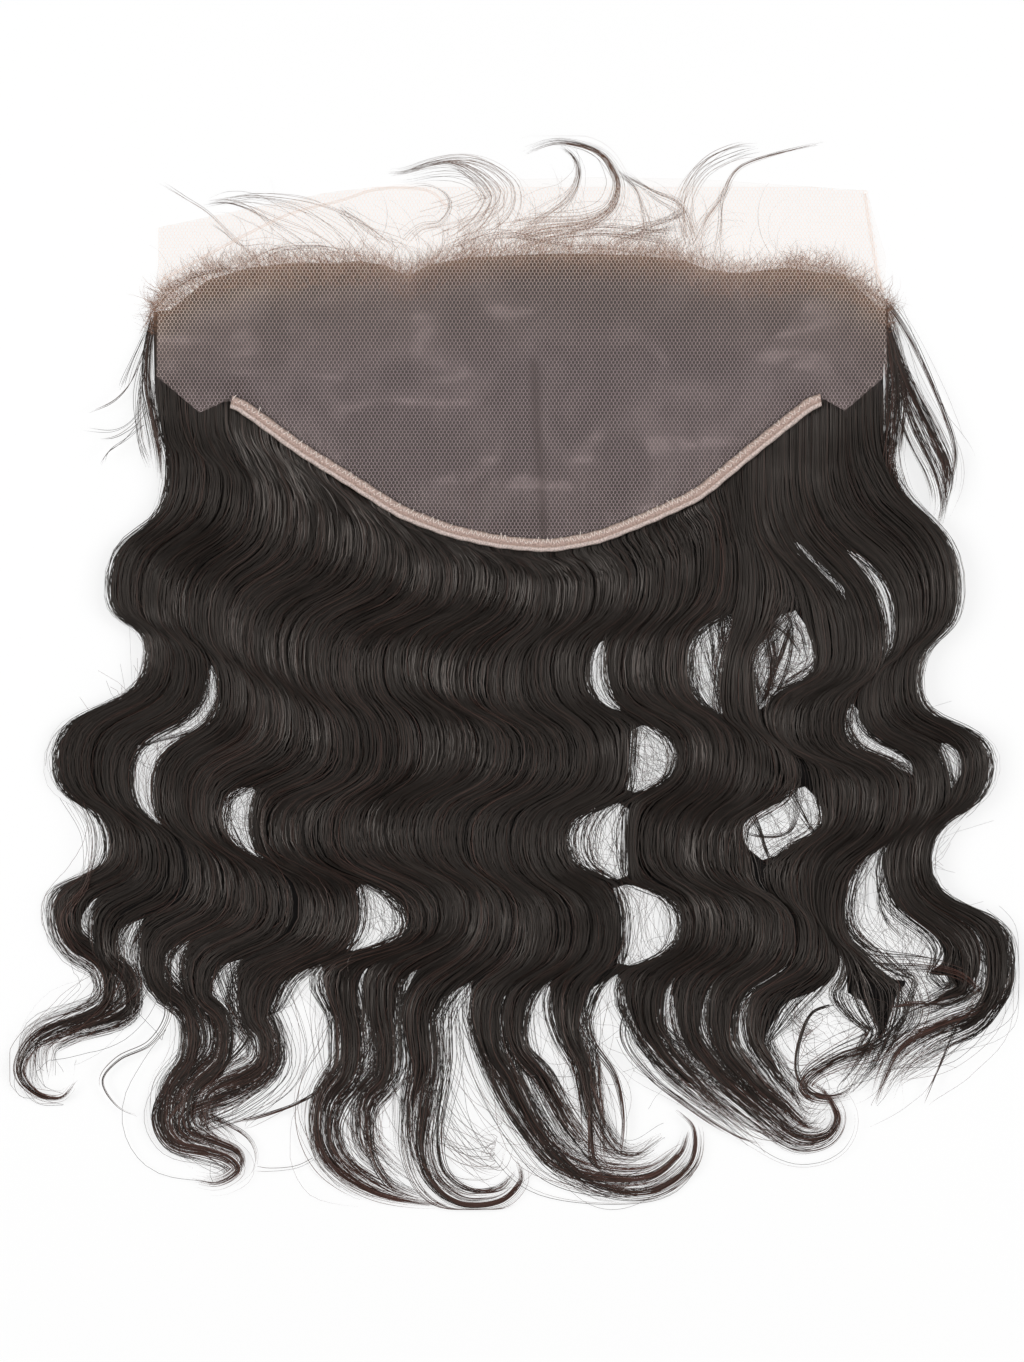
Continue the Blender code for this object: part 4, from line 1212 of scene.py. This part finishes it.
baby_look, baby_shader = plain_look("baby_hair", (0.060, 0.036, 0.026), 0.5, 0.15)
tone_of_baby = add_node(baby_look, "Attribute", "Fac", attribute_name="tone")
baby_dye = add_ramp(baby_look, tone_of_baby, (
    (0.0, (0.050, 0.026, 0.018)), (0.5, (0.20, 0.105, 0.068)), (1.0, (0.42, 0.26, 0.19))))
feed(baby_shader, {"Base Color": baby_dye})
tresses(
    "baby_hairs", BABY_HAIRS, steps=30, hair_width=0.000125, lift=on_the_table,
    look=baby_look, root_tone=0.85, tip_tone=0.0, frizz=0.32, root_lift=1.0, core=0.22)

# The first rows of knots at the hairline.
# Single short hairs are knotted thinly at the front and thicker further back, so
# that the hairline fades out. They lie under the net, some forwards, most back.
FRONT_HAIRS = 9200
FRONT_STEPS = 5
FRONT_HAIR_WIDTH = 0.00013
UNDER_NET = 0.00035
# how far the rows are brushed to the left or right, in radians
ROW_LEAN = (
    (150, -1.2), (250, -1.0), (340, -0.6), (395, 0.1), (430, 0.6), (560, 0.5), (660, 0.1),
    (700, -0.5), (740, 0.5), (820, 1.0), (890, 1.3),
)


def under_the_net(across, down):
    """Just under the net: on the table in front, on the hair further back."""
    return np.maximum(net_height(across, down) - UNDER_NET, 0.0002)


root_across = chance.uniform(151.0, 890.0, FRONT_HAIRS)
root_back = 34.0 * chance.random(FRONT_HAIRS) ** 0.85 - 9.0
root_down = read(DENSE_KNOTS, root_across) + root_back
lean_of_row = read(ROW_LEAN, root_across) + 0.30 * np.sin(root_across * 0.10)
lean = lean_of_row + chance.normal(0.0, 0.38, FRONT_HAIRS)
reach = 9.0 + 22.0 * chance.random(FRONT_HAIRS) ** 1.8
bend = -0.5 * lean_of_row + chance.normal(0.0, 0.7, FRONT_HAIRS)
grow = np.linspace(0.0, 1.0, FRONT_STEPS)[None, :]
angle = lean[:, None] + bend[:, None] * grow
hair_across = root_across[:, None] + reach[:, None] * grow * np.sin(angle)
hair_down = root_down[:, None] - reach[:, None] * grow * np.cos(angle)
hairline_fuzz = fibres(
    "hairline_fuzz", place(hair_across, hair_down, under_the_net(hair_across, hair_down)),
    FRONT_HAIR_WIDTH * chance.uniform(0.6, 1.3, FRONT_HAIRS)[:, None]
    * np.clip((1.0 - grow) * 1.8, 0.15, 1.0),
    chance.normal(0.0, 0.3, FRONT_HAIRS)[:, None] * np.ones((1, FRONT_STEPS)),
    chance.uniform(0.25, 1.05, FRONT_HAIRS) - 1.5 * root_back / read(BROWN_ZONE, root_across),
    baby_look)

# Longer fine hairs that start upwards and turn over.
# They are knotted in the same first rows, thin enough to see the margin through.
SWIRLS = 640
SWIRL_STEPS = 12
SWIRL_WIDTH = 0.000085
swirl_across = np.where(chance.random(SWIRLS) < 0.75, chance.uniform(395.0, 735.0, SWIRLS),
                        chance.uniform(160.0, 880.0, SWIRLS))
swirl_down = read(DENSE_KNOTS, swirl_across) - chance.uniform(-8.0, 8.0, SWIRLS)
turning = np.where(swirl_across < 676.0, -1.0, 1.0)
first_lean = -turning * chance.uniform(0.2, 1.5, SWIRLS)
turned = turning * chance.uniform(0.6, 2.8, SWIRLS)
swirl_reach = 16.0 + 74.0 * chance.random(SWIRLS) ** 2.2
grow = np.linspace(0.0, 1.0, SWIRL_STEPS)[None, :]
angle = first_lean[:, None] + turned[:, None] * grow ** 1.3
step_long = swirl_reach[:, None] / (SWIRL_STEPS - 1)
hair_across = swirl_across[:, None] + np.cumsum(np.sin(angle), axis=1) * step_long
hair_down = np.maximum(swirl_down[:, None] - np.cumsum(np.cos(angle), axis=1) * step_long, 150.0)
swirl_hairs = fibres(
    "swirl_hairs", place(hair_across, hair_down, under_the_net(hair_across, hair_down)),
    SWIRL_WIDTH * chance.uniform(0.6, 1.3, SWIRLS)[:, None] * np.clip((1.0 - grow) * 2.0, 0.3, 1.0),
    np.zeros((SWIRLS, SWIRL_STEPS)), chance.uniform(0.1, 0.9, SWIRLS), baby_look)
